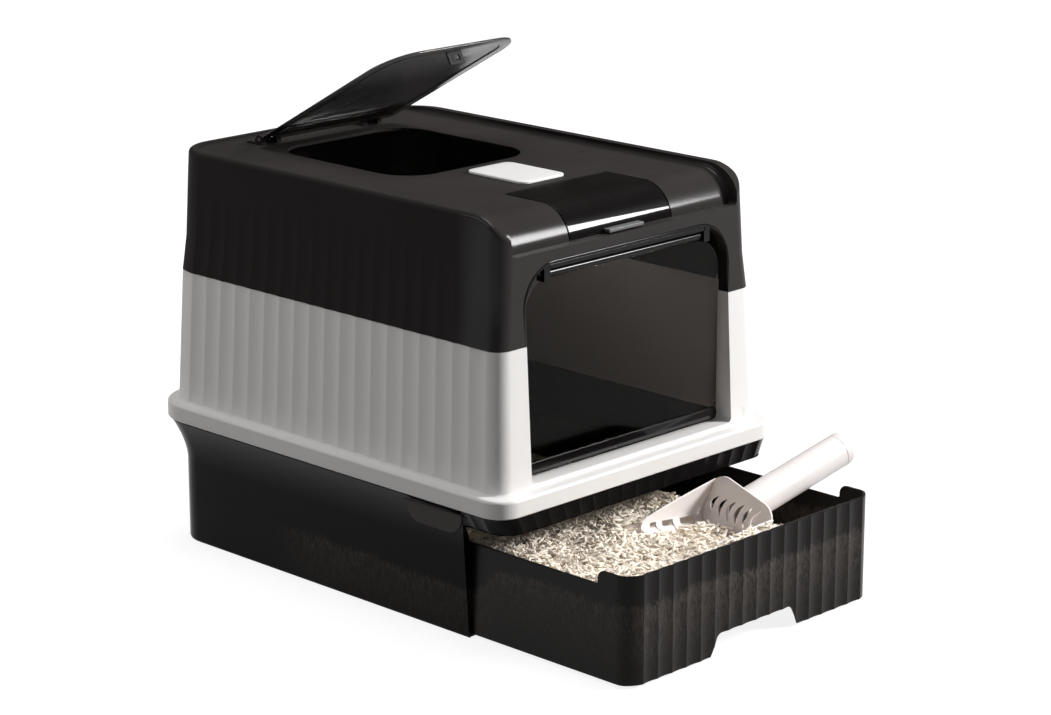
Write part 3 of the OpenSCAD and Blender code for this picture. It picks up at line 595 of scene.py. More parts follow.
notch = rounded_outline([(-notch_low_w, notch_low, 0), (notch_low_w, notch_low, 0),
                         (notch_high_w, notch_high, notch_r), (-notch_high_w, notch_high, notch_r)])
carve(tray, prism(notch, "y", drawer_form[1] - 0.01, drawer_form[1] + 0.006))
shade_smooth(tray, 15)
put_on(tray, "drawer", drawer_smoke, "drawer_tray")

# ---- Litter ----
# Pressed plant-fibre pellets, about 2.5 mm thick and 8 to 15 mm long, heaped in the drawer and
# pushed up round the scoop. Every pellet is its own little rod on a bumpy bed.

pellet_r, pellet_count = 0.00125, 5800
litter_top, litter_limit = 0.0875, 0.0915
low_side_x, low_side_run, low_side_drop = 0.070, 0.045, 0.038
heap_x, heap_y, heap_high, heap_spread = 0.02, -0.330, 0.006, 0.004


def turned_by(angle, axis):
    return Matrix.Rotation(radians(angle), 4, axis)


scoop_turn = turned_by(5, "Z") @ turned_by(10, "Y") @ turned_by(20, "X")
scoop_place = Matrix.Translation((0.072, -0.296, 0.0625)) @ scoop_turn
to_scoop = scoop_place.inverted()

pale_fibre = (0.96, 0.88, 0.77, 1)
dull_fibre = (0.74, 0.65, 0.55, 1)
husk_brown = (0.58, 0.47, 0.36, 1)
litter_paint = new_material("litter_paint")
tree = litter_paint.node_tree
shade_of = add_node(tree, "Attribute", attribute_name="shade").outputs["Fac"]
fibre = noise_at(tree, object_place(tree)[0], 1400.0, 4.0)
husk = remap(tree, fibre, 0.56, 0.74, 0.0, 0.5)
pellet_shader = add_node(tree, "BsdfPrincipled", {
    "Base Color": mix_colour(tree, husk, mix_colour(tree, shade_of, dull_fibre, pale_fibre), husk_brown),
    "Roughness": remap(tree, fibre, 0.0, 1.0, 0.75, 0.95), "Specular IOR Level": 0.2,
    "Normal": add_node(tree, "Bump", {"Strength": 0.6, "Distance": 0.0003, "Height": fibre}).outputs[0]})
add_node(tree, "OutputMaterial", {"Surface": pellet_shader.outputs[0]})


over_litter_z = 0.085
blade_from, blade_to, blade_side = -0.108, 0.004, 0.040


def in_scoop(x, y, spare):
    """Place in the scoop's own frame where (x, y) lies over its blade, give or take, or None."""
    local = to_scoop @ Vector((x, y, over_litter_z))
    if blade_from - spare < local.x < blade_to + spare and abs(local.y) < blade_side + spare:
        return local
    return None


def bed_height(x, y):
    """The litter's top: full at the left, heaped in front, low at the right, hollow under the scoop."""
    lumps = noise.noise(Vector((x * 16, y * 16, 3))) * 0.006
    lumps += noise.noise(Vector((x * 45, y * 45, 7))) * 0.003
    low_side = clamped((x - low_side_x) / low_side_run)
    top = litter_top + lumps - low_side_drop * low_side ** 2 * (3 - 2 * low_side)
    top += heap_high * exp(-((x - heap_x) ** 2 + (y - heap_y) ** 2) / heap_spread)
    local = in_scoop(x, y, 0.004)
    if local:
        top = min(top, (scoop_place @ Vector((local.x, local.y, 0.0))).z - 0.001)
    return min(top, litter_limit)


def keep_inside(x, y):
    """Nearest place inside the drawer's walls and their rounded corners."""
    half_w, front, back, r_front, r_back = inset(drawer_form, drawer_wall + 0.0004)
    x = max(-half_w, min(half_w, x))
    y = max(front, min(back, y))
    for r, near_y, sign in ((r_front, front + r_front, -1), (r_back, back - r_back, 1)):
        over_x, over_y = abs(x) - (half_w - r), (y - near_y) * sign
        if over_x > 0 and over_y > 0 and hypot(over_x, over_y) > r:
            fit = r / hypot(over_x, over_y)
            x = copysign(half_w - r + over_x * fit, x)
            y = near_y + sign * over_y * fit
    return x, y


bed_bm = bmesh.new()
bed_columns, bed_rows = 70, 96
bed_half_w, bed_front, bed_back = 0.172, -0.394, 0.073
bed = []
for row in range(bed_rows + 1):
    bed.append([])
    for column in range(bed_columns + 1):
        x = between(-bed_half_w, bed_half_w, column / bed_columns)
        x, y = keep_inside(x, between(bed_front, bed_back, row / bed_rows))
        bed[-1].append(bed_bm.verts.new((x, y, bed_height(x, y) - 0.0022)))
for low_line, high_line in zip(bed, bed[1:]):
    for k in range(bed_columns):
        bed_bm.faces.new((low_line[k], low_line[k + 1], high_line[k + 1], high_line[k]))
edge_of_bed = bed[0] + [line[-1] for line in bed[1:]] + bed[-1][-2::-1] + [line[0] for line in bed[-2:0:-1]]
skirt = [bed_bm.verts.new((v.co.x, v.co.y, tray_high + 0.0005)) for v in edge_of_bed]
bridge(bed_bm, edge_of_bed, skirt)
bed_bm.faces.new(skirt)
litter_bulk = new_object("litter_bulk", bed_bm)
litter_bulk.data.shade_smooth()
put_on(litter_bulk, "drawer", litter_paint, "litter_bed", slot="litter")

chance = random.Random(11)
sides = 6
rod = [(-0.5, 0.55), (-0.44, 1.0), (0.44, 1.0), (0.5, 0.55)]
pellet_points, pellet_faces, pellet_shades = [], [], []


def lay_pellet(x, y, z, length, turn, tilt):
    """One rod with chamfered ends, lying at that place."""
    lie = Matrix.Rotation(turn, 3, "Z") @ Matrix.Rotation(tilt, 3, "Y")
    first = len(pellet_points)
    thick = pellet_r * chance.uniform(0.9, 1.12)
    for along, wide in rod:
        for side in range(sides):
            angle = 2 * pi * side / sides
            point = lie @ Vector((along * length, wide * thick * cos(angle), wide * thick * sin(angle)))
            pellet_points.append((point.x + x, point.y + y, point.z + z))
    for step in range(len(rod) - 1):
        for side in range(sides):
            a, b = first + step * sides + side, first + step * sides + (side + 1) % sides
            pellet_faces.append((a, b, b + sides, a + sides))
    pellet_faces.append(tuple(first + side for side in reversed(range(sides))))
    pellet_faces.append(tuple(first + (len(rod) - 1) * sides + side for side in range(sides)))
    pellet_shades.extend([chance.random() ** 0.42] * (len(rod) * sides))


rear_share, tilt_spread = 0.20, 0.23
rear_ys, front_ys, all_xs, lengths = (-0.19, 0.066), (-0.388, -0.186), (-0.166, 0.166), (0.008, 0.0145)
side_wall_x, front_wall_y = 0.1708, -0.3930
blade_top_z, in_blade_x, in_blade_l, in_blade_high = 0.0034, -0.035, 0.06, 0.010
for _ in range(pellet_count):
    at_rear = chance.random() < rear_share
    x = chance.uniform(*all_xs)
    y = chance.uniform(*(rear_ys if at_rear else front_ys))
    length = chance.uniform(*lengths)
    turn = chance.uniform(0, pi)
    tilt = chance.gauss(0, tilt_spread)
    reach = length / 2 + 0.001
    fixed_x, fixed_y = keep_inside(x, y)
    if (abs(fixed_x - x) > 1e-4 or abs(fixed_y - y) > 1e-4 or abs(x) + abs(cos(turn)) * reach > side_wall_x
            or y - abs(sin(turn)) * reach < front_wall_y):
        continue
    z = bed_height(x, y) + chance.uniform(-0.0012, 0.0016) + abs(sin(tilt)) * length * 0.25
    local = in_scoop(x, y, 0.006)
    if local:
        if not in_scoop(x, y, -0.010) or local.y > 0.016:
            continue
        z = (scoop_place @ Vector((local.x, local.y, blade_top_z))).z
        heaped = max(0.0, 1 - abs(local.x - in_blade_x) / in_blade_l) * in_blade_high
        z += chance.uniform(0, 0.002 + heaped)
    lay_pellet(x, y, z, length, turn, tilt)
pellet_mesh = bpy.data.meshes.new("litter_pellets")
pellet_mesh.from_pydata(pellet_points, [], pellet_faces)
pellet_mesh.attributes.new("shade", "FLOAT", "POINT").data.foreach_set("value", pellet_shades)
pellets = bpy.data.objects.new("litter_pellets", pellet_mesh)
shade_smooth(pellets, 50)
scene.collection.objects.link(pellets)
put_on(pellets, "drawer", litter_paint, slot="litter")

# ---- Scoop ----
# A hand scoop in warm white plastic: a slotted blade with a steep back wall, and a round handle
# pushed over its neck and closed by an end cap. It lies loose in the litter.

scoop_l, scoop_wall = 0.105, 0.002
scoop_half_w, scoop_tip_half_w = 0.039, 0.0328
scoop_high, scoop_tip_high, scoop_side_high = 0.054, 0.009, 0.045
scoop_shoulder_r = 0.016
handle_r, neck_r, cap_r = 0.017, 0.013, 0.007
handle_root, handle_rise = Vector((0, 0, 0.0315)), 24
neck_show, handle_end, cap_end = 0.0106, 0.141, 0.155

scoop_white = plastic("scoop_white", (0.86, 0.81, 0.79), 0.34, specular=0.4, bump=0.25, Mottle=0.015,
                      Dust=0.10, Dust_Colour=(0.55, 0.47, 0.38, 1), Hairline=0.12, Smudge=0.12)


def sweep(degrees_round, steps):
    return [radians(degrees_round * k / steps) for k in range(steps + 1)]


def scoop_section(t, by=0.0):
    """Open channel at fraction t from tip to back wall: down the left side, across, up the right."""
    half_w = between(scoop_tip_half_w, scoop_half_w, t) - by
    high = between(scoop_tip_high, scoop_side_high, t ** 0.82)
    r = between(0.006, 0.014, t) - by
    x = -scoop_l * (1 - t)
    points = [(x, -half_w, between(high, r + by, k / 5)) for k in range(5)]
    points += [(x, -half_w + r - r * cos(a), by + r - r * sin(a)) for a in sweep(90, 6)]
    points += [(x, between(-half_w + r, half_w - r, k / 8), by) for k in range(1, 8)]
    return points + [(px, -py, pz) for px, py, pz in reversed(points[:12])]


def rounded_box(left, right, low, high, r_low, r_high=None):
    """Outline of a rectangle, with one radius for its two low corners and one for the high ones."""
    r_high = r_low if r_high is None else r_high
    return rounded_outline([(left, low, r_low), (right, low, r_low),
                            (right, high, r_high), (left, high, r_high)])


blade = skinned("scoop_blade_skin", [scoop_section(k / 14) + scoop_section(k / 14, scoop_wall)[::-1]
                                     for k in range(15)], closed=False, caps=True)
back_outline = rounded_box(-scoop_half_w, scoop_half_w, 0.0, scoop_high, 0.014, scoop_shoulder_r)
back_wall = prism([(a * 0.997, b + 0.0001) for a, b in back_outline], "x", -scoop_wall, 0.0002)
carve(blade, back_wall, how="UNION")
slots = []
for k in range(6):
    y, low, high = between(-0.0235, 0.0255, k / 5), 0.020 - 0.0012 * k, 0.0455 - 0.0026 * k
    arch = [(sin(pi * s / 10), between(low, high, s / 10)) for s in range(11)]
    near = [(y + 0.0020 * bow, z) for bow, z in arch]
    far = [(y + 0.0006 + 0.0056 * bow, z) for bow, z in arch]
    slots.append(prism(near + far[::-1], "x", -0.006, 0.004))
for start, stop in ((-0.091, -0.080), (-0.071, -0.052), (-0.041, -0.017)):
    for side in (-1, 1):
        window = rounded_box(start, stop, 0.0014, 0.0068, 0.0012)
        slots.append(prism(window, "y", side * 0.022, side * 0.045))
carve(blade, *slots)
blade.data.transform(scoop_place)
soften(blade, 0.0005, angle=40)
put_on(blade, "scoop", scoop_white, "scoop_blade")

handle_place = scoop_place @ Matrix.Translation(handle_root) @ turned_by(90 - handle_rise, "Y")


def turned(name, profile, place, count=40):
    """Round solid from (distance, radius) pairs along its axis, closed at both ends."""
    bm = bmesh.new()
    circle = [(cos(2 * pi * k / count), sin(2 * pi * k / count)) for k in range(count)]
    skin(bm, [[(r * a, r * b, along) for a, b in circle] for along, r in profile], closed=False, caps=True)
    bmesh.ops.transform(bm, matrix=place, verts=bm.verts)
    made = new_object(name, bm)
    shade_smooth(made, 35)
    return made


bore_r = neck_r - scoop_wall
neck = turned("scoop_neck", [(-0.009, neck_r), (neck_show + 0.02, neck_r)], handle_place)
neck_bore = turned("cutter", [(-0.02, bore_r), (neck_show + 0.018, bore_r)], handle_place)
ahead_of_wall = prism(rounded_box(-0.04, 0.04, -0.03, 0.09, 0), "x", -0.04, -0.0006)
ahead_of_wall.data.transform(scoop_place)
carve(neck, neck_bore, ahead_of_wall)
shade_smooth(neck, 35)
put_on(neck, "scoop", scoop_white)
grip_start = [(0.0007, 0.0030), (0.0, 0.0022), (0.0, 0.0009), (0.0004, 0.0002), (0.0012, 0.0)]
grip_profile = [(neck_show + along, handle_r - drop) for along, drop in grip_start]
grip_profile += [(between(neck_show + 0.0012, handle_end - 0.0005, k / 6), handle_r) for k in range(1, 7)]
grip_profile += [(handle_end - 0.0001, handle_r - 0.0005)]
grip = turned("scoop_grip", grip_profile, handle_place)
put_on(grip, "scoop", scoop_white, "scoop_handle")
cap_profile = [(handle_end - 0.0001, handle_r - 0.0006), (handle_end + 0.0004, handle_r)]
cap_profile += [(cap_end - cap_r + cap_r * sin(a), handle_r - cap_r + cap_r * cos(a)) for a in sweep(90, 6)]
end_cap = turned("scoop_end_cap", cap_profile, handle_place)
put_on(end_cap, "scoop", scoop_white, "scoop_cap")

# ---- Middle body ----
# A white shell, moulded in one piece: a hollow rim that hangs over the base's collar, fluted
# side and rear walls, a smooth front, and the lower part of the doorway with its deep frame.

rim_form = (0.1965, -0.255, 0.255, 0.025, 0.050)
foot_form = (0.185, -0.241, 0.248, 0.018, 0.045)
seam_form = (0.178, -0.234, 0.2445, 0.016, 0.045)
rim_low, rim_top, foot_z, seam_z = 0.132, 0.150, 0.150, 0.285
rim_skin, rim_roof, shell_wall, frame_wall = 0.0026, 0.1474, 0.003, 0.003
rim_r, lower_r, fillet_r = 0.0036, 0.0016, 0.0030
body_flute = 0.0013
side_flutes, rear_flutes, back_flutes = 19, 3, 12
doorway_half_w, doorway_low, doorway_top = 0.141, 0.154, 0.357
doorway_r_top, doorway_r_low = 0.040, 0.005
body_frame_front, hood_frame_front, frame_back, behind_frame = -0.2375, -0.2288, -0.221, -0.20

white_shell = plastic("white_shell", (0.80, 0.78, 0.765), 0.36, specular=0.45, bump=0.10, Mottle=0.008,
                      Dust_Colour=(0.6, 0.55, 0.48, 1), Hairline=0.06)

shell_walls = (plain(24), plain(8), fluted(side_flutes), fluted(rear_flutes), fluted(back_flutes))
shell_dips = flute_dips(shell_walls, 0, 0, side_flutes, rear_flutes, back_flutes)


def shell_ring(form, z, by=0.0, depth=0.0):
    return ring(track(inset(form, by), shell_walls), z, shell_dips, depth)


quarter = sweep(90, 5)
rim_line = [(rim_roof, rim_skin), (rim_low + 0.0006, rim_skin), (rim_low, rim_skin - 0.0005)]
rim_line += [(rim_low + lower_r - lower_r * cos(a), lower_r - lower_r * sin(a)) for a in quarter]
rim_line += [(rim_top - rim_r + rim_r * sin(a), rim_r - rim_r * cos(a)) for a in quarter]
body_rings = [shell_ring(foot_form, rim_roof, shell_wall)]
body_rings += [shell_ring(rim_form, z, by) for z, by in rim_line]
body_rings += [shell_ring(foot_form, foot_z + fillet_r - fillet_r * cos(a), fillet_r * sin(a) - fillet_r,
                          body_flute * sin(a) * 0.7) for a in quarter]
for k in range(1, 11):
    t = 0.02 + 0.98 * k / 10
    form = [between(a, b, t) for a, b in zip(foot_form, seam_form)]
    body_rings += [shell_ring(form, between(foot_z, seam_z - 0.0004, t), 0.0, body_flute)]
body_rings += [shell_ring(seam_form, seam_z, 0.0004, body_flute), shell_ring(seam_form, seam_z, shell_wall)]
body = skinned("body_skin", body_rings)


def doorway(grow, low=None, top=None):
    """Outline of the doorway in x and z, grown by that much, or cut off square at low or top."""
    half_w = doorway_half_w + grow
    r_low = doorway_r_low + grow if low is None else 0
    r_top = doorway_r_top + grow if top is None else 0
    return rounded_box(-half_w, half_w, doorway_low - grow if low is None else low,
                       doorway_top + grow if top is None else top, r_low, r_top)


carve(body, prism(doorway(frame_wall, top=seam_z), "y", body_frame_front, frame_back), how="UNION")
front_lean = (seam_form[1] - foot_form[1]) / (seam_z - foot_z)
ahead, shave_half_w = -0.30, 0.16
shave = [(ahead, foot_z + 0.004), (foot_form[1] + front_lean * 0.004, foot_z + 0.004), (seam_form[1], seam_z),
         (seam_form[1] + front_lean * 0.02, seam_z + 0.02), (ahead, seam_z + 0.02)]
carve(body, prism(shave, "x", -shave_half_w, shave_half_w))
carve(body, prism(doorway(0.0, top=seam_z + 0.02), "y", ahead, behind_frame))
soften(body, 0.0011, angle=40, segments=3)
put_on(body, "root", white_shell, "body_shell")

# ---- Hood ----
# The glossy black top shell, moulded in one piece: faintly fluted walls, a deck sunk between
# raised lips that rolls down to a ledge over the doorway, a hatch, and a seat for the visor.

waist_form = (0.1735, -0.232, 0.2425, 0.016, 0.045)
crown_form = (0.169, -0.229, 0.2395, 0.016, 0.045)
hood_forms = (seam_form, waist_form, crown_form)
waist_z, crown_z = 0.320, 0.408
fluted_up_to, flute_fade = 0.385, 0.085
lip_low, lip_roll_y, lip_roll_z, lip_roll_r = 0.376, -0.191, 0.364, 0.044
deck_z, deck_roll_y, deck_roll_z, deck_roll_r = 0.402, -0.185, 0.366, 0.036
ledge_z = 0.370
recess_half_w, recess_back, recess_r, recess_foot_r = 0.156, 0.2295, 0.030, 0.0045
hatch_half_w, hatch_front, hatch_back, hatch_r = 0.090, -0.0225, 0.1775, 0.041
seat_half_w, seat_back, seat_deep, seat_boss = 0.0715, -0.133, 0.004, 0.004
scent_half_w, scent_front, scent_back, scent_r = 0.056, -0.180, -0.142, 0.003
hood_flute, hood_edge_r = 0.0008, 0.0045
hood_low, above_hood = seam_z + 0.0003, 0.45

hood_black = plastic("hood_black", (0.0280, 0.0250, 0.0243), 0.50, specular=0.018, bump=0.10,
                     Dust=0.03, Smudge=0.05)


def principled(material):
    return next(node for node in material.node_tree.nodes if node.type == "BSDF_PRINCIPLED")


def polish_front(material, weight, roughness):
    """Gloss coat on whatever lies in front of the deck, fading out over the top of the roll."""
    tree, coat = material.node_tree, principled(material).inputs
    coat["Coat Roughness"].default_value = roughness
    ahead_of_deck = remap(tree, object_place(tree)[1]["Y"], -0.200, -0.172, weight, 0.0)
    tree.links.new(ahead_of_deck, coat["Coat Weight"])


polish_front(hood_black, 0.23, 0.15)

hood_side = [0.0, 0.004, 0.012, 0.022, 0.034, 0.048, 0.062]
hood_side += [t for t in fluted(side_flutes) if t > 0.07]
hood_walls = (plain(24), plain(14), hood_side, fluted(rear_flutes), fluted(back_flutes))
side_dips = [0.0 if t < 1 / side_flutes else dip for t, dip in zip(hood_side, hollow(hood_side, side_flutes))]
hood_dips = flute_dips(hood_walls, 0, 0, side_dips, rear_flutes, back_flutes)


def roll_top(y, roll_y, roll_z, roll_r, low):
    """Height of a deck that rolls down towards the front."""
    if y >= roll_y:
        return roll_z + roll_r
    fall = roll_r ** 2 - (y - roll_y) ** 2
    return max(low, roll_z + sqrt(fall)) if fall > 0 else low


def lip_top(y):
    return roll_top(y, lip_roll_y, lip_roll_z, lip_roll_r, lip_low)


def ceiling(y):
    """Inner face of the deck, its roll and the ledge."""
    inner_roll = roll_top(y, deck_roll_y, deck_roll_z, deck_roll_r - shell_wall, ledge_z - shell_wall)
    return min(deck_z - shell_wall, inner_roll)


def waist_blend(z):
    """Which two of the three levels that height lies between, and how far up."""
    if z < waist_z:
        return 0, 1, (z - seam_z) / (waist_z - seam_z)
    return 1, 2, (z - waist_z) / (crown_z - waist_z)


def closed_hood(name, by, tops, low, depth, edge_r):
    """A hood-shaped solid: walls that round over by edge_r into a top that follows the roll."""

    def points(further_in, heights, dip_depth):
        tracks = [track(inset(form, by + further_in), hood_walls) for form in hood_forms]
        made = []
        for k, z in enumerate(heights):
            lower, upper, t = waist_blend(z)
            first, second, dip = tracks[lower][k], tracks[upper][k], dip_depth * hood_dips[k]
            made.append((between(first[0], second[0], t) - first[2] * dip,
                         between(first[1], second[1], t) - first[3] * dip, z))
        return made

    wall_tops = [tops(y) - edge_r for x, y, nx, ny in track(inset(crown_form, by), hood_walls)]
    rings = []
    for z in (low, low + 0.0006, 0.30, waist_z, 0.333, 0.346, 0.356, 0.364, 0.372, 0.380, 0.388, 0.396,
              crown_z):
        dip_depth = depth * clamped((fluted_up_to - z) / flute_fade)
        rings.append(points(0.0, [min(z, top) for top in wall_tops], dip_depth))
    if edge_r:
        for a in quarter[1:]:
            further_in = edge_r * (1 - cos(a))
            here = track(inset(crown_form, by + further_in), hood_walls)
            rings.append(points(further_in, [tops(y) - edge_r * (1 - sin(a)) for x, y, nx, ny in here], 0.0))
    bm = bmesh.new()
    skin(bm, rings, closed=False)
    bm.faces.new([bm.verts.new(point) for point in rings[0]])
    top = [bm.verts.new(point) for point in rings[-1]]
    front_n, back_n = len(hood_walls[0]), len(hood_walls[4])
    side_n = (len(top) - front_n - back_n) // 2
    right = top[front_n:front_n + side_n + 1]
    left = [top[0]] + top[:front_n + side_n + back_n - 1:-1]
    bm.faces.new(top[:front_n + 1] + [right[1], left[1]])
    for k in range(1, len(right) - 2):
        bm.faces.new((left[k], right[k], right[k + 1], left[k + 1]))
    bm.faces.new([left[-2], right[-2]] + top[front_n + side_n:front_n + side_n + back_n + 1])
    return new_object(name, bm)


hood = closed_hood("hood_skin", 0.0, lip_top, hood_low, hood_flute, hood_edge_r)
cavity = closed_hood("cutter", shell_wall, ceiling, hood_low - 0.01, 0.0, 0.0)


def roll_line(r, stop_z, steps=15):
    """The deck's roll in side view, with that radius, from its top down to stop_z."""
    angles = [acos((stop_z - deck_roll_z) / r) * k / steps for k in range(steps + 1)]
    return [(deck_roll_y - r * sin(a), deck_roll_z + r * cos(a)) for a in angles]


def above_roll(back, drop, stop_z):
    """Side view of all that lies above the deck sunk by that drop, as far down as stop_z."""
    return ([(back, deck_z - drop)] + roll_line(deck_roll_r - drop, stop_z)
            + [(-0.29, stop_z), (-0.29, 0.44), (back, 0.44)])


boss_half_w = seat_half_w + seat_boss
boss_side = above_roll(seat_back + seat_boss, seat_deep + shell_wall, ledge_z - shell_wall - 0.0008)
carve(cavity, prism(boss_side, "x", -boss_half_w, boss_half_w))
carve(hood, cavity)
carve(hood, prism(doorway(frame_wall, low=hood_low), "y", hood_frame_front, frame_back), how="UNION")


def recess_ring(further_in, top=None):
    """The recess in plan, from its front left end round the back to its front right end."""
    half_w, r = recess_half_w - further_in, recess_r - further_in
    turn = recess_back - recess_r
    front = [(ahead, ledge_z), (-0.24, ledge_z)] + roll_line(deck_roll_r, ledge_z)[::-1]
    side = [(half_w, y, z) for y, z in front + [(0.0, deck_z), (turn, deck_z)]]
    side += [(half_w - r + r * cos(a), turn + r * sin(a), deck_z) for a in sweep(90, 9)[1:]]
    rise = recess_foot_r - sqrt(recess_foot_r ** 2 - (recess_foot_r - further_in) ** 2)
    return [(x, y, z + rise if top is None else top)
            for x, y, z in [(-x, y, z) for x, y, z in side] + side[::-1]]


recess_rings = [recess_ring(0.0, above_hood)] + [recess_ring(recess_foot_r * (1 - cos(a))) for a in quarter]
recess_bm = bmesh.new()
skin(recess_bm, recess_rings, closed=False)
recess_bm.faces.new([recess_bm.verts.new(point) for point in recess_rings[0]])
foot = [recess_bm.verts.new(point) for point in recess_rings[-1]]
for k in range(len(foot) // 2 - 1):
    recess_bm.faces.new((foot[k], foot[k + 1], foot[-k - 2], foot[-k - 1]))
carve(hood, new_object("cutter", recess_bm))
carve(hood, prism(above_roll(seat_back, seat_deep, ledge_z + 0.0005), "x", -seat_half_w, seat_half_w))
hatch = rounded_box(-hatch_half_w, hatch_half_w, hatch_front, hatch_back, hatch_r)
carve(hood, prism(hatch, "z", 0.36, above_hood))
scent_hole = rounded_box(-scent_half_w, scent_half_w, scent_front, scent_back, scent_r)
carve(hood, prism(scent_hole, "z", 0.380, above_hood))
carve(hood, prism(doorway(0.0, low=hood_low - 0.02), "y", ahead, behind_frame))
soften(hood, 0.0014, angle=33, segments=3)
put_on(hood, "hood", hood_black, "hood_shell")

# ---- Deodoriser ----
# A grey drop-in tray under the visor that holds a block of scented gel. The visor flips up to
# change it.

scent_green = plastic("scent_block", (0.16, 0.30, 0.21), 0.62, specular=0.35, bump=0.6,
                      Mottle=0.25, Dust=0.1, Grain_Size=700.0)
rounded_copy("deodoriser_cup", "deodoriser_tray", "hood", catch_grey, 0.0004)
rounded_copy("scent_gel", "deodoriser_block", "hood", scent_green, 0.0012, segments=3)

# ---- Hinge brackets ----
# Two black brackets screwed to the deck behind the hatch. A short steel pin in each carries one
# of the lid's knuckles.

pin_steel = plastic("pin_steel", (0.56, 0.55, 0.54), 0.28, bump=0.2, grain=0.0001,
                    extra={"Metallic": 1.0}, Hairline=0.25)
rounded_copy("hinge_brackets", "lid_brackets", "hood", hood_black, 0.0004)
dress("bracket_screws", pin_steel)
dress("lid_pins", pin_steel)

# ---- Lid latch ----
# A white sliding button on the deck in front of the hatch, moulded in one with the bolt under
# it, and the black guide that the bolt runs in.

white_trim = plastic("white_trim", (0.80, 0.79, 0.78), 0.30, bump=0.06, Mottle=0.008, Hairline=0.10)
rounded_copy("latch_slide_guide", "latch_guide", "hood", hood_black, 0.0003)
rounded_copy("latch_slide_bolt", "latch_bolt", "latch", white_trim, 0.0003)
low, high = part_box("latch_button")
middle = (low + high) / 2
button_r = 0.009
button_rows = []
for shrink, z in ((0, low.z), (0, high.z - 0.0012), (0.0001, high.z - 0.0008), (0.0004, high.z - 0.0005),
                  (0.0010, high.z - 0.0003), (0.006, high.z - 0.0002), (0.014, high.z)):
    fit_x, fit_y = 1 - shrink / (high.x - middle.x), 1 - shrink / (high.y - middle.y)
    button_rows.append([(middle.x + (x - middle.x) * fit_x, middle.y + (y - middle.y) * fit_y, z)
                        for x, y in rounded_box(low.x, high.x, low.y, high.y, button_r)])
button = skinned("latch_slide_button", button_rows, closed=False, caps=True)
shade_smooth(button, 40)
put_on(button, "latch", white_trim, "latch_button")

# ---- Top lid ----
# A smoked see-through panel, moulded with a slight crown: a thick outer frame, a thinner sunk
# middle, four low steps towards the hinge, and a knuckle on an arm at each side of its rear edge.

lid_half_w, lid_front, lid_back = 0.093, -0.0325, 0.1955
lid_low, lid_high = 0.403, 0.4056
lid_r_front, lid_r_back = 0.040, 0.012
lid_hinge = Vector((0, 0.2035, 0.408))
lid_open = Matrix.Translation(lid_hinge) @ turned_by(-29, "X") @ Matrix.Translation(-lid_hinge)
lid_frame_w, lid_sink, lid_crown = 0.013, 0.0009, 0.0026
lid_mid_y, lid_half_l = (lid_front + lid_back) / 2, (lid_back - lid_front) / 2
knuckle_x, knuckle_half_w, pin_hole_r = 0.070, 0.0062, 0.0015
# Painted light: a paler colour for the lid's far end.
far_end_painted_light = (0.026, 0.019, 0.016, 1)


def far_light_mask(tree):
    """1 at the lid's far end, where it is painted paler and made more see-through, standing in for the light
    that shows there.
    """
    return remap(tree, object_place(tree)[1]["Z"], 0.465, 0.520)


# Paints the lid paler towards its far end.
def lid_painted_light(tree, surface):
    return mix_colour(tree, far_light_mask(tree), surface, far_end_painted_light)


# The lid's colour carries the painted lightening at its far end, and its alpha lets more through there.
lid_smoke = plastic("lid_smoke", (0.010, 0.0075, 0.007), 0.13, specular=0.10, bump=0.05, tint=lid_painted_light,
                    Smudge=0.12)
tree = lid_smoke.node_tree
solid = maths(tree, "SUBTRACT", 0.915, maths(tree, "MULTIPLY", far_light_mask(tree), 0.13))
tree.links.new(solid, principled(lid_smoke).inputs["Alpha"])


def lid_outline(by):
    return rounded_box(-lid_half_w + by, lid_half_w - by, lid_front + by, lid_back - by,
                       max(lid_r_front - by, 0.004), max(lid_r_back - by, 0.003))


def crowned(x, y, z):
    """That place on the panel, bowed up, most in the middle and not at all at its edges."""
    u, v = x / lid_half_w, (y - lid_mid_y) / lid_half_l
    return (x, y, z + lid_crown * max(0.0, 1 - u * u) * max(0.0, 1 - v * v))


lid_steps = [(lid_frame_w + in_by, lid_low + lid_sink) for in_by in (0.035, 0.012, 0.0006)]
lid_steps += [(lid_frame_w, lid_low + 0.0003), (lid_frame_w - 0.0006, lid_low), (0.0009, lid_low),
              (0.0002, lid_low + 0.0003), (0.0, lid_low + 0.0010), (0.0, lid_high - 0.0010),
              (0.0002, lid_high - 0.0003), (0.0009, lid_high), (0.006, lid_high), (lid_frame_w, lid_high)]
lid_steps += [(lid_frame_w + in_by, lid_high) for in_by in (0.012, 0.035)]
lid_bm = bmesh.new()
skin(lid_bm, [[crowned(x, y, z) for x, y in lid_outline(by)] for by, z in lid_steps], closed=False)
lid_bm.verts.ensure_lookup_table()
loop = len(lid_outline(0))
for row, z in ((0, lid_low + lid_sink), (len(lid_steps) - 1, lid_high)):
    rim = lid_bm.verts[row * loop:(row + 1) * loop]
    rows = [rim]
    for shrink in (0.66, 0.33):
        rows.append([lid_bm.verts.new(crowned(v.co.x * shrink, lid_mid_y + (v.co.y - lid_mid_y) * shrink, z))
                     for v in rim])
    centre = lid_bm.verts.new(crowned(0, lid_mid_y, z))
    for wide, narrow in zip(rows, rows[1:]):
        bridge(lid_bm, wide, narrow)
    for k in range(loop):
        lid_bm.faces.new((rows[-1][k], rows[-1][(k + 1) % loop], centre))
lid = new_object("lid_panel", lid_bm)
knuckles = []
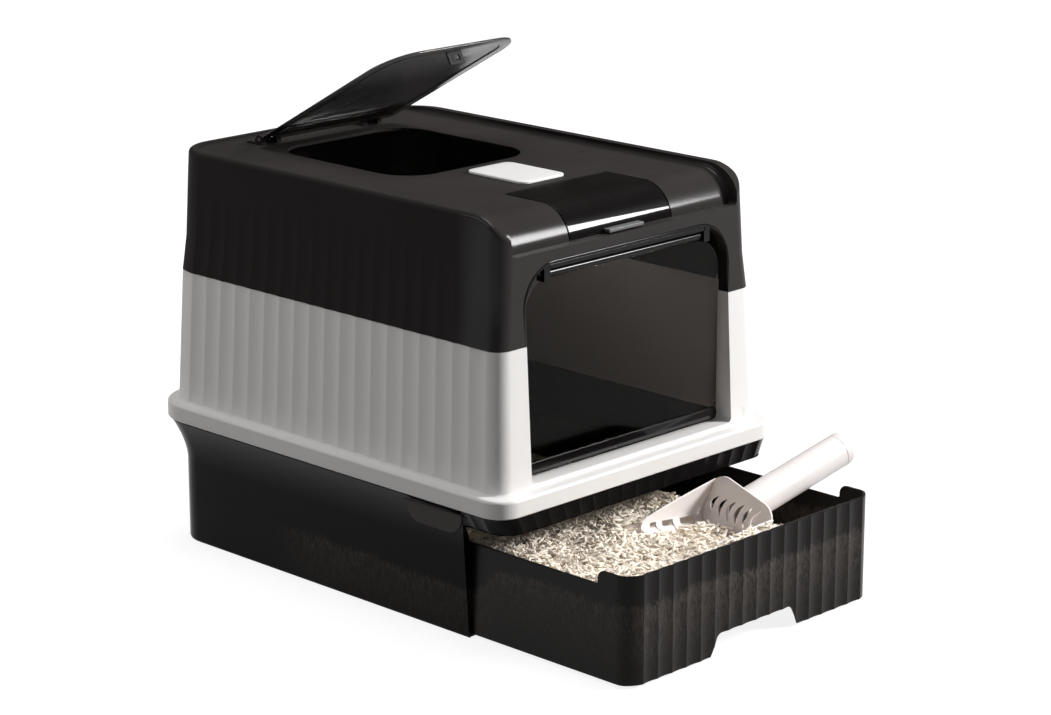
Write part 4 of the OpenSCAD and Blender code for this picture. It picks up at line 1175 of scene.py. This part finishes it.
for middle_x in (-knuckle_x, knuckle_x):
    here = Matrix.Translation((middle_x, lid_hinge.y, lid_hinge.z)) @ turned_by(90, "Y")
    profile = [(-0.0065, 0.0042), (-knuckle_half_w, 0.0045), (knuckle_half_w, 0.0045), (0.0065, 0.0042)]
    arm = [(lid_hinge.y - 0.0125, lid_low + 0.0004), (lid_hinge.y + 0.0005, lid_hinge.z - 0.0040),
           (lid_hinge.y + 0.0005, lid_hinge.z + 0.0035), (lid_hinge.y - 0.0125, lid_high - 0.0002)]
    knuckles += [turned("cutter", profile, here, 24),
                 prism(arm, "x", middle_x - knuckle_half_w, middle_x + knuckle_half_w)]
step_half_w, step_w, step_r = 0.076, 0.0016, 0.0004
steps_up = [prism(rounded_box(-step_half_w, step_half_w, y, y + step_w, step_r), "z", lid_low - 0.0006,
                  lid_high - 0.0010) for y in (0.150, 0.160, 0.170, 0.180)]
carve(lid, *knuckles, *steps_up, how="UNION")
pin_hole = [(lid_hinge.y + pin_hole_r * cos(a), lid_hinge.z + pin_hole_r * sin(a))
            for a in sweep(360, 24)[:-1]]
carve(lid, prism(pin_hole, "x", -lid_half_w, lid_half_w))
lid.data.transform(lid_open)
shade_smooth(lid, 25)
put_on(lid, "lid", lid_smoke, "top_lid")
keeper_smoke = plastic("keeper_smoke", (0.012, 0.010, 0.010), 0.35, specular=0.05, bump=0.1)
rounded_copy("lid_catch", "lid_keeper", "lid", keeper_smoke, 0.0003, slot="lid_smoke")

# ---- Visor ----
# A smoked gloss cover, moulded to wrap over the hood's front roll, with a groove round it, a
# hinge line along its rear edge and a grey finger pull clipped on its front edge.

visor_half_w, visor_wall, visor_back, visor_low = 0.070, 0.0022, -0.136, 0.3715
visor_r = deck_roll_r + 0.0002

visor_gloss = plastic("visor_gloss", (0.0050, 0.0042, 0.0042), 0.28, specular=0.01, bump=0.015,
                      Mottle=0.05, Dust=0.03, Smudge=0.05)
polish_front(visor_gloss, 0.30, 0.03)


def visor_line(r):
    """Side view of one face of the cover: flat on the deck, then down the roll."""
    flat = [(between(visor_back, deck_roll_y, k / 4), deck_roll_z + r) for k in range(4)]
    return flat + roll_line(r, visor_low, 20)


visor_side = visor_line(visor_r) + visor_line(visor_r - visor_wall)[::-1]
cover = prism(visor_side, "x", -visor_half_w, visor_half_w, "visor_cover_skin")
soften(cover, 0.0006, angle=40, segments=3)
put_on(cover, "visor", visor_gloss, "visor_cover")
pull_grey = plastic("pull_grey", (0.13, 0.13, 0.13), 0.35, specular=0.4, bump=0.25, Dust=0.1)
rounded_copy("visor_finger_pull", "visor_pull", "visor", pull_grey, 0.0008, segments=3)
dress("visor_pins", pin_steel)

# ---- Doorway bead ----
# A thin round bead of gloss black plastic, moulded on along the edge of the doorway's upper
# part.

bead_r, bead_out, bead_low = 0.0013, 0.0016, hood_low + 0.0004
bead_half_w = doorway_half_w + bead_out
bead_line = [(x, z) for x, z in doorway(bead_out, low=hood_low) if z > hood_low + 0.001]
bead_line = [(bead_half_w, bead_low)] + bead_line + [(-bead_half_w, bead_low)]
bead_rings = []
for k, (x, z) in enumerate(bead_line):
    before, after = bead_line[max(0, k - 1)], bead_line[min(len(bead_line) - 1, k + 1)]
    along = Vector((after[0] - before[0], 0, after[1] - before[1])).normalized()
    lower, upper, t = waist_blend(z)
    face_y = between(hood_forms[lower][1], hood_forms[upper][1], t)
    middle = Vector((x, max(face_y + 0.0004, seam_form[1] + bead_r), z))
    out = Vector((along.z, 0, -along.x))
    bead_rings.append([middle + bead_r * (cos(a) * out + sin(a) * Vector((0, -1, 0)))
                       for a in sweep(360, 12)[:-1]])
bead = skinned("doorway_bead", bead_rings, closed=False, caps=True)
shade_smooth(bead, 60)
put_on(bead, "hood", visor_gloss)

# ---- Front door ----
# A see-through smoked flap. A round gloss bar along its top turns on steel pins in two brackets
# behind the doorway, a rail joins the brackets, and a black strip stiffens the flap's lower edge.

door_r_low, door_r_top = 0.005, 0.034
door_smoke = plastic("door_smoke", (0.42, 0.385, 0.36), 0.05, bump=0.02, Smudge=0.04, Mottle=0.01, Dust=0.0,
                     extra={"Transmission Weight": 1.0, "IOR": 1.12})
low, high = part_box("door_panel")
panel_outline = rounded_box(-high.x, high.x, low.z, high.z, door_r_low, door_r_top)
panel = prism(panel_outline, "y", low.y, high.y, "door_flap")
soften(panel, 0.0005)
put_on(panel, "door", door_smoke, "door_panel")
rounded_copy("door_hinge_bar", "door_bar", "door", visor_gloss, 0.0005)
rounded_copy("door_lower_strip", "door_strip", "door", visor_gloss, 0.0010)
rounded_copy("door_hinge_brackets", "door_brackets", "hood", visor_gloss, 0.0008)
rail_low_z, rail_gap = 0.3522, 0.006
low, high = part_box("door_brackets")
rail_side = rounded_box(low.y, high.y, rail_low_z, high.z, 0)
rail = prism(rail_side, "x", low.x + rail_gap, high.x - rail_gap, "door_hinge_rail")
soften(rail, 0.0004)
put_on(rail, "hood", visor_gloss)
dress("door_pins", pin_steel)
